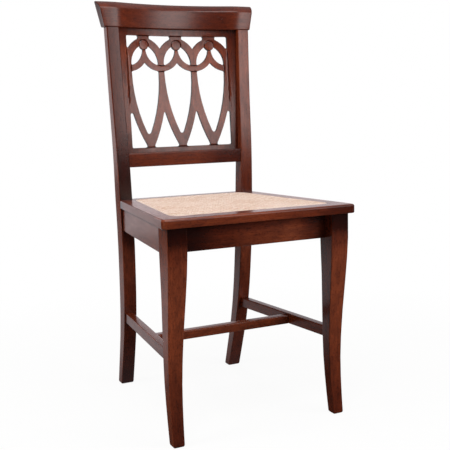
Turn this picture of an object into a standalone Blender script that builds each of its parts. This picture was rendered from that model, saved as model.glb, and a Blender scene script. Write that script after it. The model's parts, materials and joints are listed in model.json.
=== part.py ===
"""Side chair in stained beech with a cane seat and a pierced back.

The frame is metres with +Z up, and the sitter faces -Y. Heights are measured
from the floor, and depths from the seat's front edge towards the back. Every
piece hangs from one empty, which centres the chair's footprint on the origin.
"""

import math
from dataclasses import dataclass

import bmesh
import bpy
import numpy as np
from mathutils import Matrix, Vector

# General fit and finish
CLEARANCE = 0.0003
OVERRUN = 0.010
TENON_ROOT_SHARE = 0.25
WELD_DISTANCE = 0.00002
CURVE_TOLERANCE = 0.00022
LOFT_STEP = 0.042
ARRIS = 0.0022
FLAT_ANGLE = math.radians(0.5)
SMOOTH_ANGLE = math.radians(32)

# Seat frame
SEAT_HEIGHT = 0.460
SEAT_THICKNESS = 0.019
SEAT_FRONT_WIDTH = 0.4363
SEAT_REAR_RUN = 0.025
SEAT_CORNER_RADIUS = 0.0078
SEAT_NOSE_RADIUS = 0.0048
SEAT_UNDERSIDE_SHARE = 0.6
SEAT_TENON_LENGTH = 0.012
SEAT_TENON_WIDTH = 0.020
SEAT_TENON_THICKNESS = 0.0055
SEAT_TENON_LIFT = 0.0035
SEAT_JOINT_STEP = 0.0052
STILE_FRONT = 0.3734

# Cane and the spline that holds it
CANE_FRONT_BORDER = 0.0383
CANE_FRONT_SIDE_BORDER = 0.0293
CANE_REAR_SIDE_BORDER = 0.0335
CANE_REAR_BORDER = 0.0265
CANE_CORNER_RADIUS = 0.0225
CANE_LIP = 0.013
CANE_THICKNESS = 0.0012
CANE_FLANGE = 0.0045
SPLINE_WIDTH = 0.0036
SPLINE_DEPTH = 0.0052
CANE_PITCH = 0.0222
CANE_GAP = 0.0142
CANE_MARGIN = 0.0075

# Front legs
LEG_SIDE_INSET = 0.0121
LEG_FRONT_INSET = 0.0092
FRONT_LEG_WIDTH = 0.041
FRONT_LEG_DEPTH = 0.0472
FRONT_FOOT_WIDTH = 0.0244
FRONT_FOOT_DEPTH = 0.0228
FRONT_FOOT_TUCK = 0.0049
FRONT_LEG_SWEEP = 0.0243
SOLE_RADIUS = 0.0045
# height, sweep of the front face, taper of the sides, growth in depth
FRONT_LEG_SHARES = (
    (0.00, 0.56, 0.00, 0.00),
    (0.15, 0.84, 0.12, 0.07),
    (0.33, 1.00, 0.28, 0.17),
    (0.54, 0.80, 0.49, 0.33),
    (0.82, 0.26, 0.84, 0.70),
    (1.00, 0.00, 1.00, 1.00),
)

# Rear legs, which run up as the stiles of the back
REAR_FOOT_HALF_SPAN = 0.1622
STILE_TOP_HALF_SPAN = 0.1794
REAR_FOOT_WIDTH = 0.0314
STILE_TOP_WIDTH = 0.0289
REAR_LEG_DEPTH = 0.0352
REAR_FOOT_DEPTH = 0.0238
STILE_TOP_DEPTH = 0.0237
REAR_LEG_KICK = 0.072
BACK_RAKE = 0.0212
# height below the seat rails, kick of the front face, growth in depth
REAR_LEG_SHARES = (
    (0.00, 1.000, 0.00),
    (0.15, 0.740, 0.21),
    (0.33, 0.440, 0.47),
    (0.51, 0.235, 0.70),
    (0.75, 0.085, 0.88),
    (1.00, 0.000, 1.00),
)
# height above the seat, rake of the front face, loss of depth
STILE_SHARES = (
    (0.00, 0.00, 0.00),
    (0.26, 0.12, 0.42),
    (0.61, 0.62, 0.86),
    (1.00, 1.00, 1.00),
)

# Rails under the seat
RAIL_HEIGHT = 0.0525
RAIL_THICKNESS = 0.022
SIDE_RAIL_FRONT_INSET = 0.0014
SIDE_RAIL_REAR_INSET = 0.0042
RAIL_TENON_LENGTH = 0.019
RAIL_TENON_THICKNESS = 0.010
RAIL_TENON_HEIGHT = 0.018
RAIL_TENON_GAP = 0.0024

# Corner blocks
BLOCK_LEG = 0.046
BLOCK_HEIGHT = 0.030
BLOCK_DROP = 0.010

# Stretchers
STRETCHER_BOTTOM = 0.1665
STRETCHER_HEIGHT = 0.0236
STRETCHER_WIDTH = 0.0185
STRETCHER_FRONT_INSET = 0.0078
STRETCHER_REAR_INSET = 0.0032
STRETCHER_TENON_LENGTH = 0.014
STRETCHER_TENON_THICKNESS = 0.009
STRETCHER_TENON_HEIGHT = 0.013
CROSS_STRETCHER_CENTRE = 0.2014
CROSS_STRETCHER_WIDTH = 0.021
CROSS_STRETCHER_HEIGHT = 0.0195
CROSS_TENON_LENGTH = 0.008
CROSS_TENON_HEIGHT = 0.010

# Lower rail of the back
BACK_RAIL_RISE = 0.074
BACK_RAIL_HEIGHT = 0.032
BACK_RAIL_SETBACK = 0.0026
BACK_RAIL_THICKNESS = 0.0272
BACK_TENON_LENGTH = 0.015
BACK_TENON_THICKNESS = 0.010
BACK_TENON_HEIGHT = 0.017

# Crest rail
CREST_HEIGHT = 0.058
CREST_THICKNESS = 0.026
CREST_TOP_THICKNESS = 0.0285
CREST_SETBACK = 0.001
CREST_LEAN = 0.0008
CREST_ROLL_HEIGHT = 0.0165
CREST_ROLL_DEPTH = 0.0205
CREST_ROLL_POWER = 1.5
CREST_OVERHANG = 0.0045
CREST_FLARE = 0.0074
CREST_ROLL_FLARE = 0.0063
CREST_SWEEP = 0.027
CREST_BLEND = 0.0024
CREST_ARRIS = 0.0022
CREST_END_RADIUS = 0.0014
CREST_STATIONS = 33
CREST_ROLL_STEPS = 6
STILE_TENON_LENGTH = 0.028
STILE_TENON_WIDTH = 0.013
STILE_TENON_THICKNESS = 0.011

# Pierced panel of the back
PANEL_THICKNESS = 0.006
PANEL_BOTTOM_RECESS = 0.0177
PANEL_TOP_RECESS = 0.0117
PANEL_SWEEP = 0.0216
PANEL_TONGUE = 0.0048
PANEL_STRIPS = 11
PANEL_COURSES = 9
PANEL_SLACK = 0.0006
WINDOW_WIDTH = 0.257
WINDOW_HEIGHT = 0.258
TOP_BAR = 0.016
BOTTOM_BAR = 0.011
BAYS = 3
BAY_MARGIN = 0.0059
LANCET_TIP_HEIGHT = 0.0226
NOTCH_RADIUS = 0.0012
CORNER_RADIUS = 0.003
TIP_RADIUS = 0.0064
FOOT_RADIUS = 0.0036
CROWN_RADIUS = 0.0026
SIDE_CROWN_RADIUS = 0.0042
# sizes and drops below the window's top, as shares of one bay's width
BUTTON_SHARE = 0.140
BUTTON_DROP_SHARE = 0.251
ARCH_OFFSET_SHARE = 0.129
ARCH_DROP_SHARE = 0.765
ARCH_INNER_SHARE = 0.547
ARCH_OUTER_SHARE = 0.748
SWAG_DROP_SHARE = 0.358
SWAG_INNER_SHARE = 0.459
SWAG_OUTER_SHARE = 0.624
LANCET_WIDTH_SHARE = 0.419
LANCET_DROP_SHARE = 0.996
RIBBON_SHARE = 0.194
RIBBON_LEAN_SHARE = 0.065
JUNCTION_SHARE = 0.172
GROOVE_DEPTH = 0.0013
GROOVE_LIFT = 0.0002
GROOVE_RUN = 0.0025
RING_STEPS = 28

# Finishes
STAIN_COLOUR = (0.085, 0.026, 0.016, 1.0)
STAIN_ROUGHNESS = 0.34
CANE_COLOUR = (0.73, 0.57, 0.41, 1.0)
CANE_ROUGHNESS = 0.62

# Sizes that follow from the ones above
SEAT_BOTTOM = SEAT_HEIGHT - SEAT_THICKNESS
SEAT_DEPTH = STILE_FRONT + SEAT_REAR_RUN
RAIL_BOTTOM = SEAT_BOTTOM - RAIL_HEIGHT
STRETCHER_TOP = STRETCHER_BOTTOM + STRETCHER_HEIGHT
BACK_RAIL_BOTTOM = SEAT_HEIGHT + BACK_RAIL_RISE
BACK_RAIL_TOP = BACK_RAIL_BOTTOM + BACK_RAIL_HEIGHT
WINDOW_BOTTOM = BACK_RAIL_TOP + BOTTOM_BAR
WINDOW_TOP = WINDOW_BOTTOM + WINDOW_HEIGHT
CREST_BOTTOM = WINDOW_TOP + TOP_BAR
LEG_SPLAY = (STILE_TOP_HALF_SPAN - REAR_FOOT_HALF_SPAN) / CREST_BOTTOM
SEAT_STILE_HALF_WIDTH = REAR_FOOT_HALF_SPAN + LEG_SPLAY * SEAT_HEIGHT
PANEL_LOW = BACK_RAIL_TOP - PANEL_TONGUE
PANEL_HIGH = CREST_BOTTOM + PANEL_TONGUE
BAY_PITCH = (WINDOW_WIDTH - BAY_MARGIN) / BAYS
BUTTON_RADIUS = BAY_PITCH * BUTTON_SHARE
BUTTON_HEIGHT = WINDOW_HEIGHT - BAY_PITCH * BUTTON_DROP_SHARE
ARCH_CENTRE_OFFSET = BAY_PITCH * ARCH_OFFSET_SHARE
ARCH_CENTRE_HEIGHT = WINDOW_HEIGHT - BAY_PITCH * ARCH_DROP_SHARE
ARCH_INNER_RADIUS = BAY_PITCH * ARCH_INNER_SHARE
ARCH_OUTER_RADIUS = BAY_PITCH * ARCH_OUTER_SHARE
SWAG_CENTRE_HEIGHT = WINDOW_HEIGHT - BAY_PITCH * SWAG_DROP_SHARE
SWAG_INNER_RADIUS = BAY_PITCH * SWAG_INNER_SHARE
SWAG_OUTER_RADIUS = BAY_PITCH * SWAG_OUTER_SHARE
LANCET_HALF_WIDTH = BAY_PITCH * LANCET_WIDTH_SHARE
LANCET_CENTRE_HEIGHT = WINDOW_HEIGHT - BAY_PITCH * LANCET_DROP_SHARE
LANCET_FALL = LANCET_CENTRE_HEIGHT - LANCET_TIP_HEIGHT
LANCET_RADIUS = (LANCET_FALL ** 2 + LANCET_HALF_WIDTH ** 2) / (2 * LANCET_HALF_WIDTH)
LANCET_RIBBON = BAY_PITCH * RIBBON_SHARE
JUNCTION_HALF_WIDTH = BAY_PITCH * JUNCTION_SHARE


# Scene and objects

def clear_scene():
    """Removes what the file opened with."""
    for item in list(bpy.data.objects):
        bpy.data.objects.remove(item, do_unlink=True)


def new_collection(name):
    """Adds a collection under the scene's own."""
    group = bpy.data.collections.new(name)
    bpy.context.scene.collection.children.link(group)
    return group


def add_object(name, mesh, group, anchor):
    """Puts a mesh in the chair, with its origin in the middle of its bounds."""
    points = np.array([vertex.co[:] for vertex in mesh.vertices])
    middle = Vector((points.min(axis=0) + points.max(axis=0)) / 2)
    mesh.transform(Matrix.Translation(-middle))
    item = bpy.data.objects.new(name, mesh)
    item.location = middle
    item.parent = anchor
    group.objects.link(item)
    return item


def mesh_from(name, shape):
    """Turns a bmesh into a mesh whose faces point out."""
    shape.normal_update()
    bmesh.ops.recalc_face_normals(shape, faces=shape.faces)
    mesh = bpy.data.meshes.new(name)
    shape.to_mesh(mesh)
    shape.free()
    return mesh


def shade(item):
    """Shades a piece smooth, with its real edges kept crisp."""
    item.data.shade_smooth()
    item.data.set_sharp_from_angle(angle=SMOOTH_ANGLE)


def finish(item, colour, roughness):
    """Gives a piece a material of its own."""
    material = bpy.data.materials.new(item.name)
    material.use_nodes = True
    surface = material.node_tree.nodes["Principled BSDF"]
    surface.inputs["Base Color"].default_value = colour
    surface.inputs["Roughness"].default_value = roughness
    surface.inputs["Metallic"].default_value = 0.0
    item.data.materials.clear()
    item.data.materials.append(material)


class Workshop:
    """The chair's collections and anchor, and the ways to make and join its pieces."""

    def __init__(self, name):
        self.parts = new_collection(name)
        self.cutters = new_collection(name + "_cutters")
        self.anchor = bpy.data.objects.new(name + "_frame", None)
        self.parts.objects.link(self.anchor)

    def piece(self, name, mesh):
        """A piece of the chair in stained beech."""
        item = add_object(name, mesh, self.parts, self.anchor)
        shade(item)
        finish(item, STAIN_COLOUR, STAIN_ROUGHNESS)
        return item

    def cutter(self, name, mesh):
        """A shape that cuts or joins a piece and isn't part of the chair."""
        item = add_object(name, mesh, self.cutters, self.anchor)
        item.hide_render = True
        item.display_type = "WIRE"
        return item

    def combine(self, item, other, operation):
        """Adds a Boolean with another shape."""
        modifier = item.modifiers.new(other.name, "BOOLEAN")
        modifier.operation = operation
        modifier.object = other

    def cut(self, item, cutter):
        """Takes a cutter's volume out of a piece."""
        self.combine(item, cutter, "DIFFERENCE")

    def evaluated(self, item):
        """The mesh of an object with its modifiers, in the chair's own frame."""
        bpy.context.view_layer.update()
        graph = bpy.context.evaluated_depsgraph_get()
        mesh = bpy.data.meshes.new_from_object(item.evaluated_get(graph))
        mesh.transform(Matrix.Translation(item.location))
        return mesh

    def centre(self, front, rear):
        """Moves the whole chair so that its footprint is centred on the origin."""
        ends = []
        for item in (front, rear):
            mesh = self.evaluated(item)
            ends.append([vertex.co.y for vertex in mesh.vertices])
            bpy.data.meshes.remove(mesh)
        self.anchor.location.y = -(min(ends[0]) + max(ends[1])) / 2


# Plain shapes

def block(corner):
    """A cube whose corners are put in place by a function of three flags."""
    shape = bmesh.new()
    bmesh.ops.create_cube(shape, size=2.0)
    for vertex in shape.verts:
        vertex.co = Vector(corner(vertex.co.x > 0, vertex.co.y > 0, vertex.co.z > 0))
    return mesh_from("block", shape)


def bar(centre, along, across, up):
    """A box about a centre, from its three half-size vectors."""
    return block(lambda a, b, c: centre + along * (2 * a - 1) + across * (2 * b - 1) + up * (2 * c - 1))


def loft(rings):
    """A closed solid through rings that have the same number of points."""
    shape = bmesh.new()
    rows = [[shape.verts.new(point) for point in ring] for ring in rings]
    for lower, upper in zip(rows, rows[1:]):
        for index in range(len(lower)):
            after = (index + 1) % len(lower)
            shape.faces.new((lower[index], lower[after], upper[after], upper[index]))
    shape.faces.new(list(reversed(rows[0])))
    shape.faces.new(rows[-1])
    return mesh_from("loft", shape)


def flat_solid(outlines, thickness, placement):
    """A flat board from one outline and the outlines of its holes."""
    curve = bpy.data.curves.new("outline", "CURVE")
    curve.dimensions = "2D"
    curve.fill_mode = "BOTH"
    curve.extrude = thickness / 2
    for outline in outlines:
        spline = curve.splines.new("POLY")
        spline.points.add(len(outline) - 1)
        for point, (x, y) in zip(spline.points, outline):
            point.co = (x, y, 0.0, 1.0)
        spline.use_cyclic_u = True
    holder = bpy.data.objects.new("outline", curve)
    bpy.context.scene.collection.objects.link(holder)
    bpy.context.view_layer.update()
    graph = bpy.context.evaluated_depsgraph_get()
    raw = bpy.data.meshes.new_from_object(holder.evaluated_get(graph))
    bpy.data.objects.remove(holder, do_unlink=True)
    bpy.data.curves.remove(curve)
    shape = bmesh.new()
    shape.from_mesh(raw)
    bmesh.ops.remove_doubles(shape, verts=shape.verts, dist=WELD_DISTANCE)
    bmesh.ops.beautify_fill(shape, faces=shape.faces, edges=shape.edges, method="ANGLE")
    shape.transform(placement)
    bpy.data.meshes.remove(raw)
    return mesh_from("board", shape)


def join_flat_faces(item):
    """Joins the triangles of each flat face, so that its edges can be rounded whole."""
    shape = bmesh.new()
    shape.from_mesh(item.data)
    bmesh.ops.dissolve_limit(shape, angle_limit=FLAT_ANGLE, verts=[], edges=shape.edges)
    shape.to_mesh(item.data)
    shape.free()


def soften(item, radius, segments, weight_of):
    """Rounds the edges that a function of their two ends gives a weight."""
    mesh = item.data
    weights = []
    for edge in mesh.edges:
        ends = [item.location + mesh.vertices[index].co for index in edge.vertices]
        weights.append(weight_of(*ends))
    layer = mesh.attributes.new("bevel_weight_edge", "FLOAT", "EDGE")
    layer.data.foreach_set("value", weights)
    modifier = item.modifiers.new("Rounded edges", "BEVEL")
    modifier.limit_method = "WEIGHT"
    modifier.width = radius
    modifier.segments = segments


def along(first, second, direction):
    """Whether an edge runs mostly along a direction."""
    run = second - first
    return abs(run.dot(direction)) > run.length * math.cos(SMOOTH_ANGLE)


# Outlines with rounded corners

@dataclass(frozen=True)
class Line:
    """A straight edge, walked with the outline's inside on its left."""

    point: Vector
    direction: Vector

    def moved_in(self, distance):
        unit = self.direction.normalized()
        return Line(self.point + Vector((-unit.y, unit.x)) * distance, self.direction)

    def nearest(self, point):
        unit = self.direction.normalized()
        return self.point + unit * (point - self.point).dot(unit)

    def walk(self, start, end):
        return [start, end]


@dataclass(frozen=True)
class Round:
    """A circular edge, walked counterclockwise when the inside lies within the circle."""

    centre: Vector
    radius: float
    within: bool

    def moved_in(self, distance):
        return Round(self.centre, self.radius + (-distance if self.within else distance), self.within)

    def nearest(self, point):
        return self.centre + (point - self.centre).normalized() * self.radius

    def walk(self, start, end):
        first = math.atan2(start.y - self.centre.y, start.x - self.centre.x)
        last = math.atan2(end.y - self.centre.y, end.x - self.centre.x)
        turn = (last - first) % math.tau if self.within else -((first - last) % math.tau)
        step = 2 * math.acos(max(0.0, 1 - CURVE_TOLERANCE / self.radius))
        count = max(1, math.ceil(abs(turn) / step))
        angles = [first + turn * index / count for index in range(count + 1)]
        return [self.centre + Vector((math.cos(a), math.sin(a))) * self.radius for a in angles]


def crossings(first, second):
    """The points where two edges, lengthened as far as need be, meet."""
    if isinstance(first, Round) and isinstance(second, Line):
        return crossings(second, first)
    if isinstance(first, Line) and isinstance(second, Line):
        side = first.direction.cross(second.direction)
        reach = (second.point - first.point).cross(second.direction) / side
        return [first.point + first.direction * reach]
    if isinstance(first, Line):
        foot = first.nearest(second.centre)
        half = math.sqrt(max(0.0, second.radius ** 2 - (foot - second.centre).length_squared))
        unit = first.direction.normalized()
        return [foot + unit * half, foot - unit * half]
    gap = second.centre - first.centre
    reach = (gap.length_squared + first.radius ** 2 - second.radius ** 2) / (2 * gap.length)
    half = math.sqrt(max(0.0, first.radius ** 2 - reach ** 2))
    unit = gap.normalized()
    foot = first.centre + unit * reach
    return [foot + Vector((-unit.y, unit.x)) * half, foot - Vector((-unit.y, unit.x)) * half]


def rounded(corners):
    """The outline through corners given as an edge, its meeting with the next, and a radius.

    Each corner is (edge, rough place of the meeting, radius). The fillet's centre is
    where the two edges meet after both are moved in by the radius.
    """
    fillets = []
    for index, (edge, near, radius) in enumerate(corners):
        after = corners[(index + 1) % len(corners)][0]
        choices = crossings(edge.moved_in(radius), after.moved_in(radius))
        centre = min(choices, key=lambda point: (point - Vector(near)).length)
        fillets.append((edge.nearest(centre), Round(centre, radius, True), after.nearest(centre)))
    points = []
    for index, (edge, _, radius) in enumerate(corners):
        start, fillet, end = fillets[index]
        points += edge.walk(fillets[index - 1][2], start)[:-1]
        points += fillet.walk(start, end)[:-1] if radius > 0 else []
    tidy = [p for p, q in zip(points, points[1:] + points[:1]) if (p - q).length > WELD_DISTANCE]
    return [tuple(point) for point in tidy]


def quad_outline(corner_points, radii):
    """A four-sided outline, counterclockwise, with a radius at each corner."""
    points = [Vector(point) for point in corner_points]
    edges = [Line(p, q - p) for p, q in zip(points, points[1:] + points[:1])]
    after = points[1:] + points[:1]
    turned = radii[1:] + radii[:1]
    return rounded([(edge, point, radius) for edge, point, radius in zip(edges, after, turned)])


# Where the legs' faces are

def eased(shares, column, share, flat_row):
    """A smooth reading of one column of a table, level at one of its rows."""
    table = np.array(shares)
    rows = table[:, 0]
    values = table[:, column]
    slopes = np.gradient(values, rows)
    slopes[flat_row] = 0.0
    share = min(max(share, rows[0]), rows[-1])
    index = min(int(np.searchsorted(rows, share, side="right")) - 1, len(rows) - 2)
    width = rows[index + 1] - rows[index]
    t = (share - rows[index]) / width
    start = (1 + 2 * t) * (1 - t) ** 2 * values[index] + t * (1 - t) ** 2 * width * slopes[index]
    end = t * t * (3 - 2 * t) * values[index + 1] + t * t * (t - 1) * width * slopes[index + 1]
    return float(start + end)


@dataclass(frozen=True)
class Section:
    """A level slice of a leg on the +X side."""

    outer: float
    inner: float
    front: float
    rear: float


def seat_half_width(depth):
    """Half the seat's width at a depth from its front edge."""
    slope = (SEAT_STILE_HALF_WIDTH - SEAT_FRONT_WIDTH / 2) / STILE_FRONT
    return SEAT_FRONT_WIDTH / 2 + slope * depth


FRONT_LEG_OUTER = seat_half_width(LEG_FRONT_INSET) - LEG_SIDE_INSET


def front_leg_at(height):
    """The front leg's slice at a height: straight beside the rails, swept below them."""
    share = height / RAIL_BOTTOM
    sweep = FRONT_LEG_SWEEP * eased(FRONT_LEG_SHARES, 1, share, -1)
    taper = eased(FRONT_LEG_SHARES, 2, share, -1)
    growth = eased(FRONT_LEG_SHARES, 3, share, -1)
    outer = FRONT_LEG_OUTER + FRONT_FOOT_TUCK * (taper - 1)
    width = FRONT_FOOT_WIDTH + (FRONT_LEG_WIDTH - FRONT_FOOT_WIDTH) * taper
    depth = FRONT_FOOT_DEPTH + (FRONT_LEG_DEPTH - FRONT_FOOT_DEPTH) * growth
    front = LEG_FRONT_INSET + sweep
    return Section(outer, outer - width, front, front + depth)


def rear_leg_at(height):
    """The rear leg's slice at a height: kicked back below the rails, raked above the seat."""
    outer = REAR_FOOT_HALF_SPAN + LEG_SPLAY * height
    inner = outer - REAR_FOOT_WIDTH - (STILE_TOP_WIDTH - REAR_FOOT_WIDTH) * height / CREST_BOTTOM
    if height <= SEAT_HEIGHT:
        share = height / RAIL_BOTTOM
        front = STILE_FRONT + REAR_LEG_KICK * eased(REAR_LEG_SHARES, 1, share, -1)
        growth = eased(REAR_LEG_SHARES, 2, share, -1)
        depth = REAR_FOOT_DEPTH + (REAR_LEG_DEPTH - REAR_FOOT_DEPTH) * growth
    else:
        share = (height - SEAT_HEIGHT) / (CREST_BOTTOM - SEAT_HEIGHT)
        front = STILE_FRONT + BACK_RAKE * eased(STILE_SHARES, 1, share, 0)
        loss = eased(STILE_SHARES, 2, share, 0)
        depth = REAR_LEG_DEPTH + (STILE_TOP_DEPTH - REAR_LEG_DEPTH) * loss
    return Section(outer, inner, front, front + depth)


def levels(stops):
    """Heights from the first stop to the last, through every stop, at most a step apart."""
    heights = [stops[0]]
    for low, high in zip(stops, stops[1:]):
        count = max(1, math.ceil((high - low) / LOFT_STEP))
        heights += [low + (high - low) * index / count for index in range(1, count + 1)]
    return heights


def leg_mesh(section_at, heights, side):
    """A leg lofted through its slices, with the sole flat on the floor."""
    rings = []
    for height in heights:
        slice_ = section_at(height)
        rings.append([
            (side * slice_.outer, slice_.front, height),
            (side * slice_.inner, slice_.front, height),
            (side * slice_.inner, slice_.rear, height),
            (side * slice_.outer, slice_.rear, height),
        ])
    return loft(rings)


def leg_edge_weight(first, second):
    """Full rounding round the sole, and a lighter one up the corners."""
    if max(first.z, second.z) < CLEARANCE:
        return 1.0
    return ARRIS / SOLE_RADIUS if along(first, second, Vector((0, 0, 1))) else 0.0


# Joints between members

@dataclass(frozen=True)
class Tenon:
    """A tenon on a member's shoulder, which points out of the member."""

    root: Vector
    out: Vector
    length: float
    thickness: float
    height: float

    def box(self, grow, sunk):
        """The tenon's box, grown all round and started some way inside the shoulder."""
        out = self.out.normalized()
        across = out.cross(Vector((0, 0, 1))).normalized()
        if out.z > math.cos(SMOOTH_ANGLE):
            across = Vector((1, 0, 0))
        up = across.cross(out)
        half_length = (self.length + grow + sunk) / 2
        centre = self.root + out * ((self.length + grow - sunk) / 2)
        return bar(centre, out * half_length, across * (self.thickness / 2 + grow),
                   up * (self.height / 2 + grow))


def add_tenon(shop, name, member, mate, tenon):
    """Joins a tenon to its member and sinks the mortise in its mate."""
    solid = shop.cutter(name + "_tenon", tenon.box(0.0, tenon.length * TENON_ROOT_SHARE))
    shop.combine(member, solid, "UNION")
    mortise = shop.cutter(name + "_mortise", tenon.box(CLEARANCE, OVERRUN))
    shop.cut(mate, mortise)


def long_edges(direction, share=1.0):
    """An edge weight that rounds only the edges along a member."""
    return lambda first, second: share if along(first, second, direction) else 0.0


# Legs

def make_front_leg(shop, side, tag):
    """A sabre front leg, straight beside the rails."""
    stops = [0.0, STRETCHER_BOTTOM, STRETCHER_TOP, RAIL_BOTTOM, SEAT_BOTTOM - CLEARANCE]
    leg = shop.piece("front_leg_" + tag, leg_mesh(front_leg_at, levels(stops), side))
    soften(leg, SOLE_RADIUS, 3, leg_edge_weight)
    return leg


def make_rear_leg(shop, side, tag):
    """A rear leg and stile in one piece."""
    stops = [0.0, STRETCHER_BOTTOM, STRETCHER_TOP, RAIL_BOTTOM, SEAT_HEIGHT, BACK_RAIL_BOTTOM,
             BACK_RAIL_TOP, CREST_BOTTOM - CLEARANCE]
    leg = shop.piece("rear_leg_" + tag, leg_mesh(rear_leg_at, levels(stops), side))
    soften(leg, SOLE_RADIUS, 3, leg_edge_weight)
    return leg


# Rails under the seat

def make_cross_rail(shop, name, legs, section_at, front, rear, upper):
    """A rail between two legs of one pair, with a tenon into each."""
    low = RAIL_BOTTOM
    high = SEAT_BOTTOM - CLEARANCE

    def corner(right, back, top):
        height = high if top else low
        reach = section_at(height).inner - CLEARANCE
        return (reach if right else -reach, rear if back else front, height)

    rail = shop.piece(name, block(corner))
    soften(rail, ARRIS, 2, long_edges(Vector((1, 0, 0))))
    middle = (low + high) / 2
    lift = (RAIL_TENON_HEIGHT + RAIL_TENON_GAP) / 2
    height = middle + lift if upper else middle - lift
    for side, leg in legs.items():
        reach = section_at(height).inner - CLEARANCE
        root = Vector((side * reach, (front + rear) / 2, height))
        tenon = Tenon(root, Vector((side, 0, 0)), RAIL_TENON_LENGTH, RAIL_TENON_THICKNESS, RAIL_TENON_HEIGHT)
        add_tenon(shop, f"{name}_{leg.name}", rail, leg, tenon)
    return rail


@dataclass(frozen=True)
class SideLine:
    """The plan of a member that runs from a front leg to a rear leg."""

    front_outer: float
    rear_outer: float
    width: float
    front_at: float
    rear_at: float

    @property
    def run(self):
        """The member's direction, from front to back."""
        return Vector((self.rear_outer - self.front_outer, self.rear_at - self.front_at, 0)).normalized()

    @property
    def wide(self):
        """The member's width measured across the chair."""
        return self.width / self.run.y

    def outer(self, depth):
        """How far the outer face is from the middle of the chair at a depth."""
        share = (depth - self.front_at) / (self.rear_at - self.front_at)
        return self.front_outer + (self.rear_outer - self.front_outer) * share


def side_rail_line():
    """The side rail's plan, just inside the legs' outer faces."""
    middle = (RAIL_BOTTOM + SEAT_BOTTOM) / 2
    front = front_leg_at(middle)
    rear = rear_leg_at(middle)
    return SideLine(front.outer - SIDE_RAIL_FRONT_INSET, rear.outer - SIDE_RAIL_REAR_INSET,
                    RAIL_THICKNESS - CLEARANCE, front.rear, rear.front)


def side_stretcher_line():
    """The side stretcher's plan, just inside the legs' outer faces."""
    middle = (STRETCHER_BOTTOM + STRETCHER_TOP) / 2
    front = front_leg_at(middle)
    rear = rear_leg_at(middle)
    return SideLine(front.outer - STRETCHER_FRONT_INSET, rear.outer - STRETCHER_REAR_INSET,
                    STRETCHER_WIDTH, front.rear, rear.front)


def make_side_member(shop, name, side, line, low, high, tenon_sizes, lift, legs):
    """A rail or stretcher from a front leg to a rear leg, cut to the legs' slanted faces."""

    def corner(outside, back, top):
        height = high if top else low
        depth = rear_leg_at(height).front - CLEARANCE if back else front_leg_at(height).rear + CLEARANCE
        reach = line.outer(depth) - (0.0 if outside else line.wide)
        return (side * reach, depth, height)

    run = Vector((side * line.run.x, line.run.y, 0))
    member = shop.piece(name, block(corner))
    soften(member, ARRIS, 2, long_edges(run))
    length, thickness, tall = tenon_sizes
    height = (low + high) / 2 + lift
    ends = ((-run, legs[0], front_leg_at(height).rear), (run, legs[1], rear_leg_at(height).front))
    for out, leg, depth in ends:
        root = Vector((side * (line.outer(depth) - line.wide / 2), depth, height))
        add_tenon(shop, f"{name}_{leg.name}", member, leg, Tenon(root, out, length, thickness, tall))
    return member


def make_corner_block(shop, name, side, rail_face, towards, line):
    """A triangular block glued in the corner between two rails."""

    def inner(depth):
        return line.outer(depth) - line.wide - CLEARANCE

    corner_depth = rail_face + towards * CLEARANCE
    far_depth = rail_face + towards * BLOCK_LEG
    triangle = [
        (side * inner(corner_depth), corner_depth),
        (side * inner(far_depth), far_depth),
        (side * (inner(corner_depth) - BLOCK_LEG), corner_depth),
    ]
    middle = SEAT_BOTTOM - BLOCK_DROP - BLOCK_HEIGHT / 2
    return shop.piece(name, flat_solid([triangle], BLOCK_HEIGHT, Matrix.Translation((0, 0, middle))))


# Seat

def cane_half_width(depth):
    """Half the width of the caned opening at a depth."""
    front = CANE_FRONT_BORDER
    rear = SEAT_DEPTH - CANE_REAR_BORDER
    front_half = seat_half_width(front) - CANE_FRONT_SIDE_BORDER
    rear_half = seat_half_width(rear) - CANE_REAR_SIDE_BORDER
    return front_half + (rear_half - front_half) * (depth - front) / (rear - front)


def cane_outline(inset):
    """The edge of the caned opening, moved inwards by a distance."""
    front = CANE_FRONT_BORDER
    rear = SEAT_DEPTH - CANE_REAR_BORDER
    front_half = cane_half_width(front)
    rear_half = cane_half_width(rear)
    corners = ((-front_half, front), (front_half, front), (rear_half, rear), (-rear_half, rear))
    points = [Vector(corner) for corner in corners]
    after = points[1:] + points[:1]
    radius = CANE_CORNER_RADIUS - inset
    edges = [Line(p, q - p).moved_in(inset) for p, q in zip(points, after)]
    return rounded([(edge, point, radius) for edge, point in zip(edges, after)])


def ring_solid(outer_inset, inner_inset, top, depth):
    """A ring that follows the caned opening's edge."""
    placement = Matrix.Translation((0, 0, top - depth / 2))
    return flat_solid([cane_outline(outer_inset), cane_outline(inner_inset)], depth, placement)


def plate_solid(inset, top, depth):
    """A plate with the caned opening's outline."""
    return flat_solid([cane_outline(inset)], depth, Matrix.Translation((0, 0, top - depth / 2)))


GROOVE_WIDTH = SPLINE_WIDTH + CANE_THICKNESS + CLEARANCE * 3
OPENING_INSET = GROOVE_WIDTH + CANE_LIP


def seat_joint(front):
    """The depth of the seat's front or rear joint line, just past the opening's rounded corners."""
    border = CANE_FRONT_BORDER if front else CANE_REAR_BORDER
    reach = border + OPENING_INSET + SEAT_JOINT_STEP
    return reach if front else SEAT_DEPTH - reach


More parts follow.
